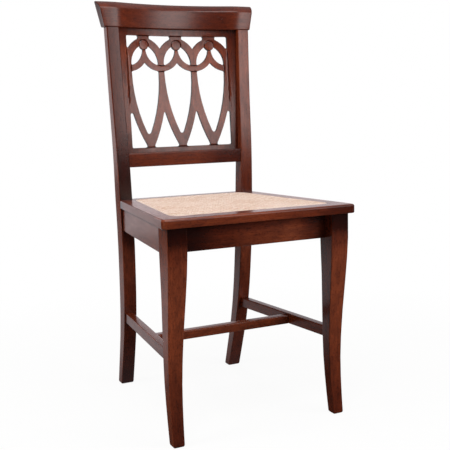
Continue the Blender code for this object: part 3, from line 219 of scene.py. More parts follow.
@dataclass(frozen=True)
class StainedBeech:
    """Beech, planed and sanded, with a red-brown stain, a shading toner and a satin lacquer.

    The stain hides most of the pale wood. What shows is a mottled figure, thin darker
    streaks and flecks where the pores took more colour, a toner that darkens the joints,
    arrises rubbed a little paler, nearly black end grain, and a soft sheen over it all.
    Painted shade is laid into the colour too: shadows under the seat and along joints,
    darker routed grooves, and each board darker or lighter where the light fell so.
    """

    body: str = "#b65f3a"
    deep: str = "#69321f"
    pore: str = "#3a150c"
    # painted shade in the routed grooves, also standing for stain soaked into the cut
    groove_stain_and_shade: str = "#2e110b"
    end_grain: str = "#2c100a"
    rubbed: str = "#cf7a4e"
    # real streaks and flecks are finer than a pixel, so they are drawn coarser
    streak: Figure = Figure(3.0, 48.0, 5.0)
    fleck: Figure = Figure(2.1, 5.5, 2.0)
    mottle: Figure = Figure(11.0, 34.0, 3.0)
    cloud: Figure = Figure(70.0, 210.0, 2.0)
    noise_roughness: float = 0.6
    noise_distortion: float = 0.3
    shift_ways: Point = (1.0, 1.7, 0.6)
    # how much of the tone is mottle and cloud, and which tones are quite deep and quite pale
    mottle_share: float = 0.5
    cloud_share: float = 0.25
    tone_span: Span = (0.33, 0.67)
    fleck_span: Span = (0.52, 0.72)
    fleck_strength: float = 0.6
    # the lacquer is a little duller over deep wood and glossier over pale wood
    ior: float = 1.5
    roughness: float = 0.235
    duller: float = 0.05
    glossier: float = 0.04
    gloss_span: Span = (0.3, 0.7)
    relief: float = 0.18
    relief_depth: float = 0.2 * MM
    # powers of the light that thick toner and painted shade let through, so that they redden what
    # they darken
    toner_green: float = 1.35
    toner_blue: float = 1.5
    # how far a surface looks forwards, from its sides to its front, which alone gets the painted
    # shade of the ramps where a board has a sides share
    front_shade_span: Span = (-0.3, -0.8)
    # largest part of the normal, from a board's face to the middle of its rounded arris
    arris_span: Span = (0.96, 0.82)
    patch_span: Span = (0.35, 0.65)
    worn_span: Span = (0.04, 0.20)
    # how squarely a surface looks forwards, below which routed walls get painted shade and
    # soaked-in stain, or along the fibres, where end grain shows
    groove_shade_span: Span = (0.93, 0.80)
    groove_shade_strength: float = 0.9
    end_span: Span = (0.80, 0.95)

    def noise(self, tree: Tree, place: Socket, figure: Figure, board: Board) -> Socket:
        """Makes one noise that is stretched along the fibres.

        Args:
            tree: The material's tree.
            place: The place on the piece.
            figure: The noise's real size and detail.
            board: How the board lies.

        Returns:
            The noise, about 0.5 on average.
        """
        size = [figure.across_mm * MM] * 3
        size["xyz".index(board.grain.value)] = figure.along_mm * MM
        counted = add_node(tree, "ShaderNodeMapping", {
            "Vector": place, "Rotation": (0.0, 0.0, board.turn), "Scale": tuple(size)},
            vector_type="TEXTURE").outputs[0]
        return add_node(tree, "ShaderNodeTexNoise", {
            "Vector": counted, "Scale": 1.0, "Detail": figure.detail,
            "Roughness": self.noise_roughness,
            "Distortion": self.noise_distortion}).outputs["Fac"]

    def tint(self, share: float) -> Colour:
        """The colour of light that comes through the toner and painted shade, redder where less of
        it does.
        """
        return share, share ** self.toner_green, share ** self.toner_blue, 1.0

    def toned_and_shaded(self, tree: Tree, colour: Socket, board: Board) -> Socket:
        """Darkens the stain where the toner lies thickly and where shade is painted, and reddens
        it a little there.

        Args:
            tree: The material's tree.
            colour: The stained wood.
            board: Where the toner and painted shade lie.

        Returns:
            The toned wood, with its painted shade.
        """
        spots = add_node(tree, "ShaderNodeTexCoord")
        shares = add_node(tree, "ShaderNodeSeparateXYZ", [spots.outputs["Generated"]])
        normal = add_node(tree, "ShaderNodeSeparateXYZ", [spots.outputs["Normal"]])
        for axis, stops in ((board.grain, board.toner), (board.across_axis, board.across)):
            if not stops:
                continue
            ramp = add_node(tree, "ShaderNodeValToRGB", [shares.outputs[axis.value.upper()]])
            ramp.color_ramp.interpolation = "EASE"
            set_stops(ramp.color_ramp, [(spot, self.tint(share)) for spot, share in stops])
            toner_and_shade_veil = ramp.outputs["Color"]
            # painted shade on the front faces only; the sides keep one share
            if board.sides:
                front = add_node(tree, "ShaderNodeMapRange", [
                    normal.outputs["Y"], *self.front_shade_span]).outputs[0]
                toner_and_shade_veil = add_node(tree, "ShaderNodeMix", {
                    "Factor": front, COLOUR_A: self.tint(board.sides), COLOUR_B: toner_and_shade_veil},
                    data_type="RGBA").outputs[MIXED]
            colour = add_node(tree, "ShaderNodeMix", {
                "Factor": 1.0, COLOUR_A: colour, COLOUR_B: toner_and_shade_veil},
                data_type="RGBA", blend_type="MULTIPLY").outputs[MIXED]
        return colour

    def edged(self, tree: Tree, colour: Socket, board: Board, patches: Socket) -> Socket:
        """Darkens end grain, paints shade into routed grooves where stain also soaks in, and rubs
        the arrises of square boards paler.

        Args:
            tree: The material's tree.
            colour: The wood so far.
            board: How the board lies.
            patches: A noise that breaks up the rubbed places.

        Returns:
            The wood with its edges.
        """
        normal = add_node(tree, "ShaderNodeTexCoord").outputs["Normal"]
        upright = add_node(tree, "ShaderNodeVectorMath", [normal], operation="ABSOLUTE")
        parts = add_node(tree, "ShaderNodeSeparateXYZ", [upright.outputs[0]])
        if board.square:
            most = parts.outputs["X"]
            for axis in "YZ":
                most = add_node(tree, "ShaderNodeMath", [most, parts.outputs[axis]],
                                operation="MAXIMUM").outputs[0]
            arris = add_node(tree, "ShaderNodeMapRange", [most, *self.arris_span]).outputs[0]
            thin = add_node(tree, "ShaderNodeMapRange", [
                patches, *self.patch_span, *self.worn_span]).outputs[0]
            worn = add_node(tree, "ShaderNodeMath", [arris, thin], operation="MULTIPLY")
            colour = add_node(tree, "ShaderNodeMix", {
                "Factor": worn.outputs[0], COLOUR_A: colour, COLOUR_B: linear(self.rubbed)},
                data_type="RGBA").outputs[MIXED]
        # painted shade on the walls of routed grooves, with stain soaked into the cut
        if board.routed:
            dark = add_node(tree, "ShaderNodeMapRange", [
                parts.outputs["Y"], *self.groove_shade_span, 0.0, self.groove_shade_strength]).outputs[0]
            shade = linear(self.groove_stain_and_shade)
        else:
            fibres = Vector([float(board.grain.value == axis) for axis in "xyz"])
            fibres.rotate(Matrix.Rotation(board.turn, 3, "Z"))
            facing = add_node(tree, "ShaderNodeVectorMath", [normal, tuple(fibres)],
                              operation="DOT_PRODUCT").outputs["Value"]
            facing = add_node(tree, "ShaderNodeMath", [facing], operation="ABSOLUTE").outputs[0]
            dark = add_node(tree, "ShaderNodeMapRange", [
                facing, *self.end_span, 0.0, board.open_ends]).outputs[0]
            shade = linear(self.end_grain)
        return add_node(tree, "ShaderNodeMix", {
            "Factor": dark, COLOUR_A: colour, COLOUR_B: shade},
            data_type="RGBA").outputs[MIXED]

    def material(self, name: str, board: Board, shift: float) -> bpy.types.Material:
        """Makes the finish for one board.

        Args:
            name: The board's name.
            board: How it lies, and how it was toned and painted with shade.
            shift: How far the pattern is moved, so that boards differ.

        Returns:
            The material.
        """
        material, tree, output = blank_material("stained_beech_" + name)
        place = add_node(tree, "ShaderNodeTexCoord").outputs["Object"]
        moved = add_node(tree, "ShaderNodeVectorMath", [
            place, tuple(shift * way for way in self.shift_ways)], operation="ADD").outputs[0]
        streak, fleck, mottle, cloud = (
            self.noise(tree, moved, figure, board)
            for figure in (self.streak, self.fleck, self.mottle, self.cloud))
        tone = streak
        for share, other in ((self.mottle_share, mottle), (self.cloud_share, cloud)):
            tone = add_node(tree, "ShaderNodeMix", {
                "Factor": share, VALUE_A: tone, VALUE_B: other}, data_type="FLOAT").outputs[0]
        wood = add_node(tree, "ShaderNodeValToRGB", [tone])
        set_stops(wood.color_ramp, list(zip(self.tone_span, map(linear, (self.deep, self.body)))))
        marks = add_node(tree, "ShaderNodeMapRange", [
            fleck, *self.fleck_span, 0.0, self.fleck_strength]).outputs[0]
        colour = add_node(tree, "ShaderNodeMix", {
            "Factor": marks, COLOUR_A: wood.outputs["Color"], COLOUR_B: linear(self.pore)},
            data_type="RGBA").outputs[MIXED]
        colour = self.toned_and_shaded(tree, self.edged(tree, colour, board, streak), board)
        gloss = add_node(tree, "ShaderNodeMapRange", [
            tone, *self.gloss_span, self.roughness + self.duller,
            self.roughness - self.glossier]).outputs[0]
        relief = add_node(tree, "ShaderNodeBump", {
            "Strength": self.relief, "Distance": self.relief_depth, "Height": fleck}).outputs[0]
        surface = add_node(tree, "ShaderNodeBsdfPrincipled", {
            "Base Color": colour, "Metallic": 0.0, "Roughness": gloss, "IOR": self.ior,
            "Normal": relief})
        tree.links.new(surface.outputs[0], output.inputs["Surface"])
        return material


@dataclass(frozen=True)
class Cane:
    """Rattan cane, split from the vine with its glossy skin left on, and hardly varnished.

    The skin gives a soft sheen, the fibres show as fine darker specks in it, and every
    strand has a slightly different straw colour.
    """

    pale: str = "#efd9cb"
    warm: str = "#d9b59d"
    shade: str = "#b58e6c"
    ior: float = 1.5
    roughness: float = 0.42
    # real fibres are finer than a pixel, so they are drawn coarser
    fibre_mm: float = 0.9
    fibre_detail: float = 2.0
    blotch_mm: float = 18.0
    blotch_detail: float = 3.0
    noise_roughness: float = 0.6
    blotch_share: float = 0.5
    tone_span: Span = (0.22, 0.62)
    speck_span: Span = (0.54, 0.74)
    speck_strength: float = 0.75
    relief: float = 0.25
    relief_depth: float = 0.1 * MM

    def material(self, name: str) -> bpy.types.Material:
        """Makes the finish for the cane or its spline.

        Args:
            name: What it is for.

        Returns:
            The material.
        """
        material, tree, output = blank_material("cane_" + name)
        place = add_node(tree, "ShaderNodeTexCoord").outputs["Object"]
        strand = add_node(tree, "ShaderNodeNewGeometry").outputs["Random Per Island"]
        blotch, fibre = (
            add_node(tree, "ShaderNodeTexNoise", {
                "Vector": place, "Scale": 1.0 / (size * MM), "Detail": detail,
                "Roughness": self.noise_roughness}).outputs["Fac"]
            for size, detail in ((self.blotch_mm, self.blotch_detail),
                                 (self.fibre_mm, self.fibre_detail)))
        tone = add_node(tree, "ShaderNodeMix", {
            "Factor": self.blotch_share, VALUE_A: strand, VALUE_B: blotch},
            data_type="FLOAT").outputs[0]
        ramp = add_node(tree, "ShaderNodeValToRGB", [tone])
        set_stops(ramp.color_ramp, list(zip(self.tone_span, map(linear, (self.warm, self.pale)))))
        specks = add_node(tree, "ShaderNodeMapRange", [
            fibre, *self.speck_span, 0.0, self.speck_strength]).outputs[0]
        colour = add_node(tree, "ShaderNodeMix", {
            "Factor": specks, COLOUR_A: ramp.outputs["Color"], COLOUR_B: linear(self.shade)},
            data_type="RGBA").outputs[MIXED]
        relief = add_node(tree, "ShaderNodeBump", {
            "Strength": self.relief, "Distance": self.relief_depth, "Height": fibre}).outputs[0]
        surface = add_node(tree, "ShaderNodeBsdfPrincipled", {
            "Base Color": colour, "Roughness": self.roughness, "Normal": relief,
            "IOR": self.ior})
        tree.links.new(surface.outputs[0], output.inputs["Surface"])
        return material


# Pieces that stay as they are

@dataclass
class SoftArris:
    """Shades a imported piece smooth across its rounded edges."""

    weld: float = 0.01 * MM
    crease: float = math.radians(50)
    weight: int = 50

    def __post_init__(self) -> None:
        """Makes the node group once, for every piece."""
        self.group = self.make_group()

    def make_group(self) -> Tree:
        """Makes the node group that welds a piece and keeps only its real creases.

        Returns:
            The node group.
        """
        tree = bpy.data.node_groups.new("soft_arris", "GeometryNodeTree")
        for way in ("INPUT", "OUTPUT"):
            tree.interface.new_socket("Geometry", in_out=way, socket_type="NodeSocketGeometry")
        source = add_node(tree, "NodeGroupInput").outputs[0]
        plain = add_node(tree, "GeometryNodeRemoveAttribute", {
            "Geometry": source, "Name": "custom_normal"})
        welded = add_node(tree, "GeometryNodeMergeByDistance", {
            "Geometry": plain.outputs[0], "Distance": self.weld})
        angle = add_node(tree, "GeometryNodeInputMeshEdgeAngle").outputs["Unsigned Angle"]
        soft = add_node(tree, "FunctionNodeCompare", [angle, self.crease],
                        data_type="FLOAT", operation="LESS_THAN").outputs[0]
        faces = add_node(tree, "GeometryNodeSetShadeSmooth", {
            "Geometry": welded.outputs[0], "Shade Smooth": True}, domain="FACE")
        edges = add_node(tree, "GeometryNodeSetShadeSmooth", {
            "Geometry": faces.outputs[0], "Shade Smooth": soft}, domain="EDGE")
        add_node(tree, "NodeGroupOutput", [edges.outputs[0]])
        return tree

    def apply(self, item: bpy.types.Object) -> None:
        """Puts the shading on a piece.

        Args:
            item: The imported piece.
        """
        nodes = item.modifiers.new("soft_arris", "NODES")
        nodes.node_group = self.group
        weights = item.modifiers.new("arris_weights", "WEIGHTED_NORMAL")
        weights.keep_sharp = True
        weights.weight = self.weight


@dataclass
class WoodFrame:
    """The beech pieces of the chair, each with its own board."""

    nodes: dict[str, bpy.types.Object]
    finish: StainedBeech
    arris: SoftArris
    # how far a side member runs inwards and backwards, and the turns of boards from the axes
    side_run: Span = (0.0466, 0.3734)
    block_turn: float = math.radians(45)
    pattern_step: float = 0.37
    # the legs darken towards the foot and nearly to black at the top, a painted shadow under the
    # seat
    leg_toner: Stops = (
        (0.0, 0.25), (0.07, 0.27), (0.24, 0.40), (0.43, 0.55), (0.62, 0.61), (0.80, 0.57),
        (0.88, 0.36), (0.94, 0.08), (1.0, 0.04))
    # the stiles' fronts are painted darker around the seat's height, darkest in a painted shadow
    # in the gap by the side rail's end, and the left stile darker than the right where less light
    # fell
    left_stile_toner: Stops = (
        (0.0, 0.12), (0.12, 0.20), (0.28, 0.36), (0.37, 0.48), (0.42, 0.16), (0.46, 0.05),
        (0.58, 0.07), (0.74, 0.19), (0.81, 0.23), (1.0, 0.18))
    right_stile_toner: Stops = (
        (0.0, 0.22), (0.14, 0.30), (0.28, 0.38), (0.38, 0.48), (0.46, 0.14), (0.56, 0.24),
        (0.65, 0.38), (0.81, 0.43), (0.94, 0.42), (1.0, 0.34))
    # the share of light that the sides of each leg and of the seat's front let through, while
    # their fronts get painted shade; the right leg's inner side is painted darker, as shade under
    # the seat
    left_leg_sides: float = 0.55
    right_leg_sides: float = 0.28
    left_stile_sides: float = 0.52
    right_stile_sides: float = 0.45
    nose_sides: float = 0.50
    # along the crest, toner with painted light and shade, set to how the light fell on it
    crest_toner: Stops = (
        (0.0, 0.32), (0.13, 0.30), (0.37, 0.29), (0.57, 0.26), (0.75, 0.23), (0.92, 0.33),
        (1.0, 0.30))
    # the panel is painted darker at its top and bottom edges and at its right side, as shade by
    # the crest, the rail and the right stile
    panel_toner: Stops = (
        (0.0, 0.26), (0.10, 0.32), (0.3, 0.44), (0.8, 0.46), (0.92, 0.25), (1.0, 0.20))
    panel_across_shade: Stops = (
        (0.0, 0.80), (0.06, 0.95), (0.2, 1.0), (0.8, 1.0), (0.93, 0.62), (1.0, 0.42))
    # the lower back rail is painted darker towards its right end, where less light fell
    low_rail_toner: Stops = ((0.0, 0.31), (0.55, 0.38), (0.8, 0.17), (1.0, 0.10))
    # the seat's nose is painted darker towards its right end, where less light fell on it
    nose_toner: Stops = (
        (0.0, 0.56), (0.04, 0.45), (0.25, 0.46), (0.45, 0.50), (0.7, 0.36), (0.9, 0.19),
        (1.0, 0.18))
    side_toner: Stops = ((0.0, 0.45), (0.2, 0.60), (0.8, 0.60), (1.0, 0.45))
    cross_toner: Stops = ((0.0, 0.36), (0.2, 0.56), (0.8, 0.56), (1.0, 0.36))
    # painted shadow lines where the seat sides meet the side rails: at the top of each rail and
    # the foot of each seat side
    rail_joint_shadow: Stops = ((0.0, 1.0), (0.91, 1.0), (0.96, 0.4), (1.0, 0.2))
    seat_joint_shadow: Stops = (
        (0.0, 0.15), (0.10, 0.35), (0.18, 1.0), (0.88, 1.0), (0.94, 0.5), (1.0, 0.9))
    # the front rail is painted dark at its left end and, as a painted shadow under the seat's
    # overhang, at its top, and lighter to the right where more light reached
    front_rail_toner: Stops = (
        (0.0, 0.03), (0.12, 0.08), (0.3, 0.28), (0.5, 0.50), (0.72, 0.66), (0.86, 0.28),
        (1.0, 0.12))
    front_rail_under_seat_shadow: Stops = ((0.0, 1.0), (0.5, 1.0), (0.8, 0.6), (1.0, 0.35))

    def boards(self) -> dict[str, Board]:
        """Says how each board lies, and how it was toned and painted with shade.

        Returns:
            Piece name to board.
        """
        across, back, up = Grain.ALONG_X, Grain.ALONG_Y, Grain.ALONG_Z
        found = {
            "front_rail": Board(across, self.front_rail_toner, self.front_rail_under_seat_shadow, up),
            "rear_rail": Board(across),
            "cross_stretcher": Board(across, self.cross_toner),
            "seat_front": Board(across, self.nose_toner, open_ends=0.0, sides=self.nose_sides),
            "seat_rear": Board(across),
            "lower_back_rail": Board(across, self.low_rail_toner),
            "crest_rail": Board(across, self.crest_toner, square=False),
            "fretwork_panel": Board(up, self.panel_toner, self.panel_across_shade, routed=True,
                                    square=False),
            "front_leg_left": Board(up, self.leg_toner, sides=self.left_leg_sides),
            "front_leg_right": Board(up, self.leg_toner, sides=self.right_leg_sides),
            "rear_leg_left": Board(up, self.left_stile_toner, sides=self.left_stile_sides),
            "rear_leg_right": Board(up, self.right_stile_toner, sides=self.right_stile_sides),
        }
        slant = math.atan2(*self.side_run)
        for tag, turn in (("left", -slant), ("right", slant)):
            found["side_rail_" + tag] = Board(back, self.side_toner, self.rail_joint_shadow, up,
                                              turn=turn)
            found["seat_side_" + tag] = Board(back, self.side_toner, self.seat_joint_shadow, up,
                                              turn=turn, square=False)
            found["side_stretcher_" + tag] = Board(back, turn=turn)
            for stem in ("corner_block_front_", "corner_block_rear_"):
                found[stem + tag] = Board(across, turn=self.block_turn, square=False)
        return found

    def build(self) -> None:
        """Dresses every board."""
        for number, (name, board) in enumerate(sorted(self.boards().items())):
            item = self.nodes[name]
            dress(item, self.finish.material(name, board, self.pattern_step * number))
            self.arris.apply(item)
            log.info("dressed %s", name)


# Woven cane

class Course(Enum):
    """The four ways that strands of the cane run."""

    UPRIGHT = "upright"
    LEVEL = "level"
    RISING = "rising"
    FALLING = "falling"


Line = tuple[np.ndarray, np.ndarray, Course, bool]


@dataclass
class WovenCane:
    """The six-way weave: pairs both ways, and single strands on both diagonals."""

    finish: Cane
    top: float = 0.4600
    pitch: float = 12.7 * MM
    pair_gap: float = 2.9 * MM
    strand_width: float = 2.5 * MM
    strand_thickness: float = 0.7 * MM
    # a strand's section, in shares of its half width and of its thickness
    section: Stops = (
        (-1.0, 0.0), (-0.9, 0.62), (-0.35, 1.0), (0.35, 1.0), (0.9, 0.62), (1.0, 0.0))
    # how deep the weave's middle lies in thicknesses, and how far strands rise and fall in it
    depth: float = 1.4
    swing: float = 0.9
    pair_swing: float = 0.5
    crossing_width: float = 0.6
    # where strands end: the outline under the spline, where they tuck down into the groove
    front_half_width: float = 0.1840
    rear_half_width: float = 0.1382
    inset: float = 2.0 * MM
    corner: float = 20.5 * MM
    corner_steps: int = 6
    tuck: float = 2.0 * MM
    tuck_run: float = 4.0 * MM
    # shortest strand in pitches, and how finely strands are drawn
    shortest: float = 0.4
    steps_per_pitch: int = 4
    steps_per_slant: int = 3
    fewest_points: int = 3
    # more than the seat's half width or depth
    reach: float = 0.6
    parallel: float = 1e-12
    crease: float = math.radians(60)

    def outline(self) -> np.ndarray:
        """The line under the spline where every strand ends.

        Returns:
            The corners of a many-sided convex outline, anticlockwise.
        """
        low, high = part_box("cane_spline")
        front, rear = self.front_half_width - self.inset, self.rear_half_width - self.inset
        corners = [Vector(place) for place in (
            (-front, low.y + self.inset), (front, low.y + self.inset),
            (rear, high.y - self.inset), (-rear, high.y - self.inset))]
        points: list[Span] = []
        for index, corner in enumerate(corners):
            back = (corners[index - 1] - corner).normalized()
            ahead = (corners[(index + 1) % 4] - corner).normalized()
            half = back.angle(ahead) / 2
            centre = corner + (back + ahead).normalized() * self.corner / math.sin(half)
            first = corner + back * self.corner / math.tan(half) - centre
            last = corner + ahead * self.corner / math.tan(half) - centre
            sweep = first.angle_signed(last)
            for step in range(self.corner_steps + 1):
                turn = Matrix.Rotation(-sweep * step / self.corner_steps, 2)
                points.append(tuple(centre + turn @ first))
        return np.array(points)

    def clipped(self, outline: np.ndarray, origin: np.ndarray, heading: np.ndarray) -> Span | None:
        """Cuts a straight line to the outline.

        Args:
            outline: The convex outline.
            origin: A point of the line.
            heading: Its unit direction.

        Returns:
            The distances along the line where it enters and leaves, or None.
        """
        enter, leave = -math.inf, math.inf
        for here, there in zip(outline, np.roll(outline, -1, axis=0)):
            side = there - here
            normal = np.array([side[1], -side[0]])
            speed = float(normal @ heading)
            room = float(normal @ (here - origin))
            if abs(speed) < self.parallel:
                if room < 0:
                    return None
            elif speed > 0:
                leave = min(leave, room / speed)
            else:
                enter = max(enter, room / speed)
        return (enter, leave) if leave - enter > self.pitch * self.shortest else None

    def height(self, course: Course, point: np.ndarray, first: bool) -> float:
        """How far a strand stands above the weave's middle at a point.

        Args:
            course: The way the strand runs.
            point: The place, counted in pitches.
            first: True for the first strand of a pair.

        Returns:
            The height in metres.
        """
        lift = self.strand_thickness
        if course in (Course.UPRIGHT, Course.LEVEL):
            run = point[1] if course is Course.UPRIGHT else point[0]
            away = (run - round(run)) * self.pitch
            sign = 1.0 if (course is Course.UPRIGHT) == first else -1.0
            middle, width = self.pair_gap / 2, self.pair_gap * self.crossing_width
            bump = math.exp(-((away - middle) / width) ** 2)
            dip = math.exp(-((away + middle) / width) ** 2)
            return sign * lift * self.pair_swing * (bump - dip)
        wave = math.cos(math.tau * point[1])
        return lift * wave if course is Course.RISING else -lift * wave

    def strand(self, start: np.ndarray, end: np.ndarray, course: Course, first: bool,
               origin: np.ndarray) -> tuple[list[Point], list[Face]]:
        """Makes one strand, flat below and rounded on top.

        Args:
            start: Where it begins.
            end: Where it ends.
            course: The way it runs.
            first: True for the first strand of a pair.
            origin: The crossing that the weave is counted from.

        Returns:
            The strand's vertices and faces.
        """
        length = float(np.linalg.norm(end - start))
        heading = (end - start) / length
        across = np.array([-heading[1], heading[0]])
        step = self.pitch / self.steps_per_pitch
        if course in (Course.RISING, Course.FALLING):
            step = self.pitch / math.sqrt(2) / self.steps_per_slant
        count = max(self.fewest_points, int(length / step) + 1)
        half, thick = self.strand_width / 2, self.strand_thickness
        points: list[Point] = []
        for distance in np.linspace(0.0, length, count):
            place = start + heading * distance
            rise = self.height(course, (place - origin) / self.pitch, first)
            near = min(distance, length - distance)
            dive = self.tuck * max(0.0, 1 - near / self.tuck_run) ** 2
            for sideways, up in self.section:
                spot = place + across * (half * sideways)
                level = self.top - thick * self.depth + rise * self.swing + thick * up - dive
                points.append((spot[0], spot[1], level))
        size = len(self.section)
        faces: list[Face] = []
        for base in range(0, (count - 1) * size, size):
            for index in range(size):
                following = (index + 1) % size
                faces.append((base + index, base + size + index, base + size + following,
                              base + following))
        faces.append(tuple(range(size)))
        faces.append(tuple(reversed(range((count - 1) * size, count * size))))
        return points, faces

    def lines(self, middle: np.ndarray) -> list[Line]:
        """Lays out every strand.

        Args:
            middle: The crossing in the middle of the seat.

        Returns:
            A point, a direction, the course and whether it is a pair's first strand.
        """
        count = int(self.reach / self.pitch)
        slant = math.sqrt(0.5)
        found: list[Line] = []
        for index in range(-count, count + 1):
            for first, offset in ((True, -self.pair_gap / 2), (False, self.pair_gap / 2)):
                shift = index * self.pitch + offset
                found.append((middle + [shift, 0.0], np.array([0.0, 1.0]), Course.UPRIGHT, first))
                found.append((middle + [0.0, shift], np.array([1.0, 0.0]), Course.LEVEL, first))
            start = middle + [(index + 0.5) * self.pitch, 0.0]
            found.append((start, np.array([slant, slant]), Course.RISING, True))
            found.append((start, np.array([-slant, slant]), Course.FALLING, True))
        return found

    def build(self) -> None:
        """Weaves the cane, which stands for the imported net."""
        outline = self.outline()
        middle = (outline.min(axis=0) + outline.max(axis=0)) / 2
        points: list[Point] = []
        faces: list[Face] = []
        for place, heading, course, first in self.lines(middle):
            cut = self.clipped(outline, place, heading)
            if cut is None:
                continue
            start, end = (place + heading * distance for distance in cut)
            made, sides = self.strand(start, end, course, first, middle)
            base = len(points)
            points += made
            faces += [tuple(index + base for index in face) for face in sides]
        mesh = bpy.data.meshes.new("woven_cane")
        mesh.from_pydata(points, [], faces)
        mesh.shade_smooth()
        mesh.set_sharp_from_angle(angle=self.crease)
        piece = bpy.data.objects.new("woven_cane", mesh)
        bpy.context.scene.collection.objects.link(piece)
        dress(piece, self.finish.material("weave"))
        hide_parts("cane_panel")
        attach(piece, ROOT)
        log.info("wove the cane: %d faces", len(faces))


# Screws of the corner blocks

@dataclass(frozen=True)
class PlatedSteel:
    """Zinc-plated steel, turned and tumbled.

    The plating gives a dull blue-grey sheen with smoother and rougher patches.
    """

    bright: str = "#a8a9ad"
    dull: str = "#6f6c68"
    patch_mm: float = 1.5
    patch_detail: float = 3.0
    roughness: float = 0.38
    uneven: float = 0.08
    gloss_span: Span = (0.3, 0.7)
    relief: float = 0.1
    relief_depth: float = 0.1 * MM

    def material(self) -> bpy.types.Material:
        """Makes the finish.

        Returns:
            The material.
        """
        material, tree, output = blank_material("zinc_plated_steel")
        place = add_node(tree, "ShaderNodeTexCoord").outputs["Object"]
        patches = add_node(tree, "ShaderNodeTexNoise", {
            "Vector": place, "Scale": 1.0 / (self.patch_mm * MM),
            "Detail": self.patch_detail}).outputs["Fac"]
        colour = add_node(tree, "ShaderNodeMix", {
            "Factor": patches, COLOUR_A: linear(self.dull), COLOUR_B: linear(self.bright)},
            data_type="RGBA").outputs[MIXED]
        gloss = add_node(tree, "ShaderNodeMapRange", [
            patches, *self.gloss_span, self.roughness + self.uneven,
            self.roughness - self.uneven]).outputs[0]
        relief = add_node(tree, "ShaderNodeBump", {
            "Strength": self.relief, "Distance": self.relief_depth, "Height": patches}).outputs[0]
        surface = add_node(tree, "ShaderNodeBsdfPrincipled", {
            "Base Color": colour, "Metallic": 1.0, "Roughness": gloss, "Normal": relief})
        tree.links.new(surface.outputs[0], output.inputs["Surface"])
        return material


@dataclass
class BlockScrews:
    """Two slotted, raised countersunk screws in the slanting face of each corner block."""

    nodes: dict[str, bpy.types.Object]
    finish: PlatedSteel
    radius: float = 4.2 * MM
    crown: float = 1.2 * MM
    crown_power: float = 2.2
    slot_width: float = 1.2 * MM
    slot_depth: float = 0.9 * MM
    apart: float = 30.0 * MM
    sunk: float = 0.1 * MM
    # how each block's two slots happen to stand, in degrees
    slot_turns: Span = (37.0, 98.0)
    spokes: int = 28
    rings: int = 4
    crease: float = math.radians(40)
    same_way: float = 0.99

    def head(self) -> bpy.types.Mesh:
        """Makes one head, which looks up +Z from its block's face.

        Returns:
            The head's mesh.
        """
        shape = bmesh.new()
        hub = shape.verts.new((0.0, 0.0, self.crown))
        before: list[bmesh.types.BMVert] = []
        for ring in range(1, self.rings + 1):
            share = ring / self.rings
            reach = self.radius * share
            rise = self.crown * (1 - share ** self.crown_power)
            now = [shape.verts.new((reach * math.cos(turn), reach * math.sin(turn), rise))
                   for turn in np.linspace(0.0, math.tau, self.spokes, endpoint=False)]
            for here in range(self.spokes):
                there = (here + 1) % self.spokes
                corners = [before[here], now[here], now[there], before[there]] if before else [
                    hub, now[here], now[there]]
                shape.faces.new(corners)
            before = now
        for side in (-1, 1):
            bmesh.ops.bisect_plane(shape, geom=shape.verts[:] + shape.edges[:] + shape.faces[:],
                                   plane_co=(side * self.slot_width / 2, 0, 0), plane_no=(1, 0, 0))
        inside = [face for face in shape.faces
                  if abs(face.calc_center_median().x) < self.slot_width / 2]
        grown = bmesh.ops.extrude_face_region(shape, geom=inside)["geom"]
        bmesh.ops.delete(shape, geom=inside, context="FACES")
        bmesh.ops.translate(shape, vec=(0, 0, -self.slot_depth),
                            verts=[part for part in grown if isinstance(part, bmesh.types.BMVert)])
        shape.verts.index_update()
        rounds = [[vert.index for vert in face.verts] for face in shape.faces]
        starts = [corners.index(min(corners)) for corners in rounds]
        # faces start at their lowest corner and are sorted, so that each run lists them alike
        faces = sorted(corners[start:] + corners[:start] for corners, start in zip(rounds, starts))
        mesh = bpy.data.meshes.new("block_screw")
        mesh.from_pydata([vert.co for vert in shape.verts], [], faces)
        shape.free()
        mesh.shade_smooth()
        mesh.set_sharp_from_angle(angle=self.crease)
        return mesh

    def slanting_face(self, block: bpy.types.Mesh) -> tuple[Vector, Vector]:
        """Finds the face of a block that looks towards the chair's middle, above the origin.

        Args:
            block: The block's mesh.

        Returns:
            The face's middle and its normal.
        """
        inward = -sum((point.co for point in block.vertices), Vector())
        inward.z = 0.0
        face = max(block.polygons, key=lambda side: side.area * side.normal.dot(inward))
        flat = [side for side in block.polygons if side.normal.dot(face.normal) > self.same_way]
        corners = [block.vertices[index].co for side in flat for index in side.vertices]
        middle = (Vector(map(min, zip(*corners))) + Vector(map(max, zip(*corners)))) / 2
        return middle, face.normal.copy()

    def build(self) -> None:
        """Sets the screws in the blocks."""
        head = self.head()
        steel = self.finish.material()
        for name in sorted(node for node in self.nodes if node.startswith("corner_block")):
            middle, normal = self.slanting_face(self.nodes[name].data)
            sideways = Vector((0, 0, 1)).cross(normal).normalized()
            turned = normal.to_track_quat("Z", "Y").to_matrix().to_4x4()
            for number, (side, slot) in enumerate(zip((-1, 1), self.slot_turns), start=1):
                item = bpy.data.objects.new(f"screw_{name}_{number}", head.copy())
                bpy.context.scene.collection.objects.link(item)
                spot = middle + sideways * side * self.apart / 2 - normal * self.sunk
                twist = Matrix.Rotation(math.radians(slot), 4, "Z")
                item.matrix_world = Matrix.Translation(spot) @ turned @ twist
                dress(item, steel)
                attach(item, ROOT)
                log.info("set %s", item.name)


# Studio

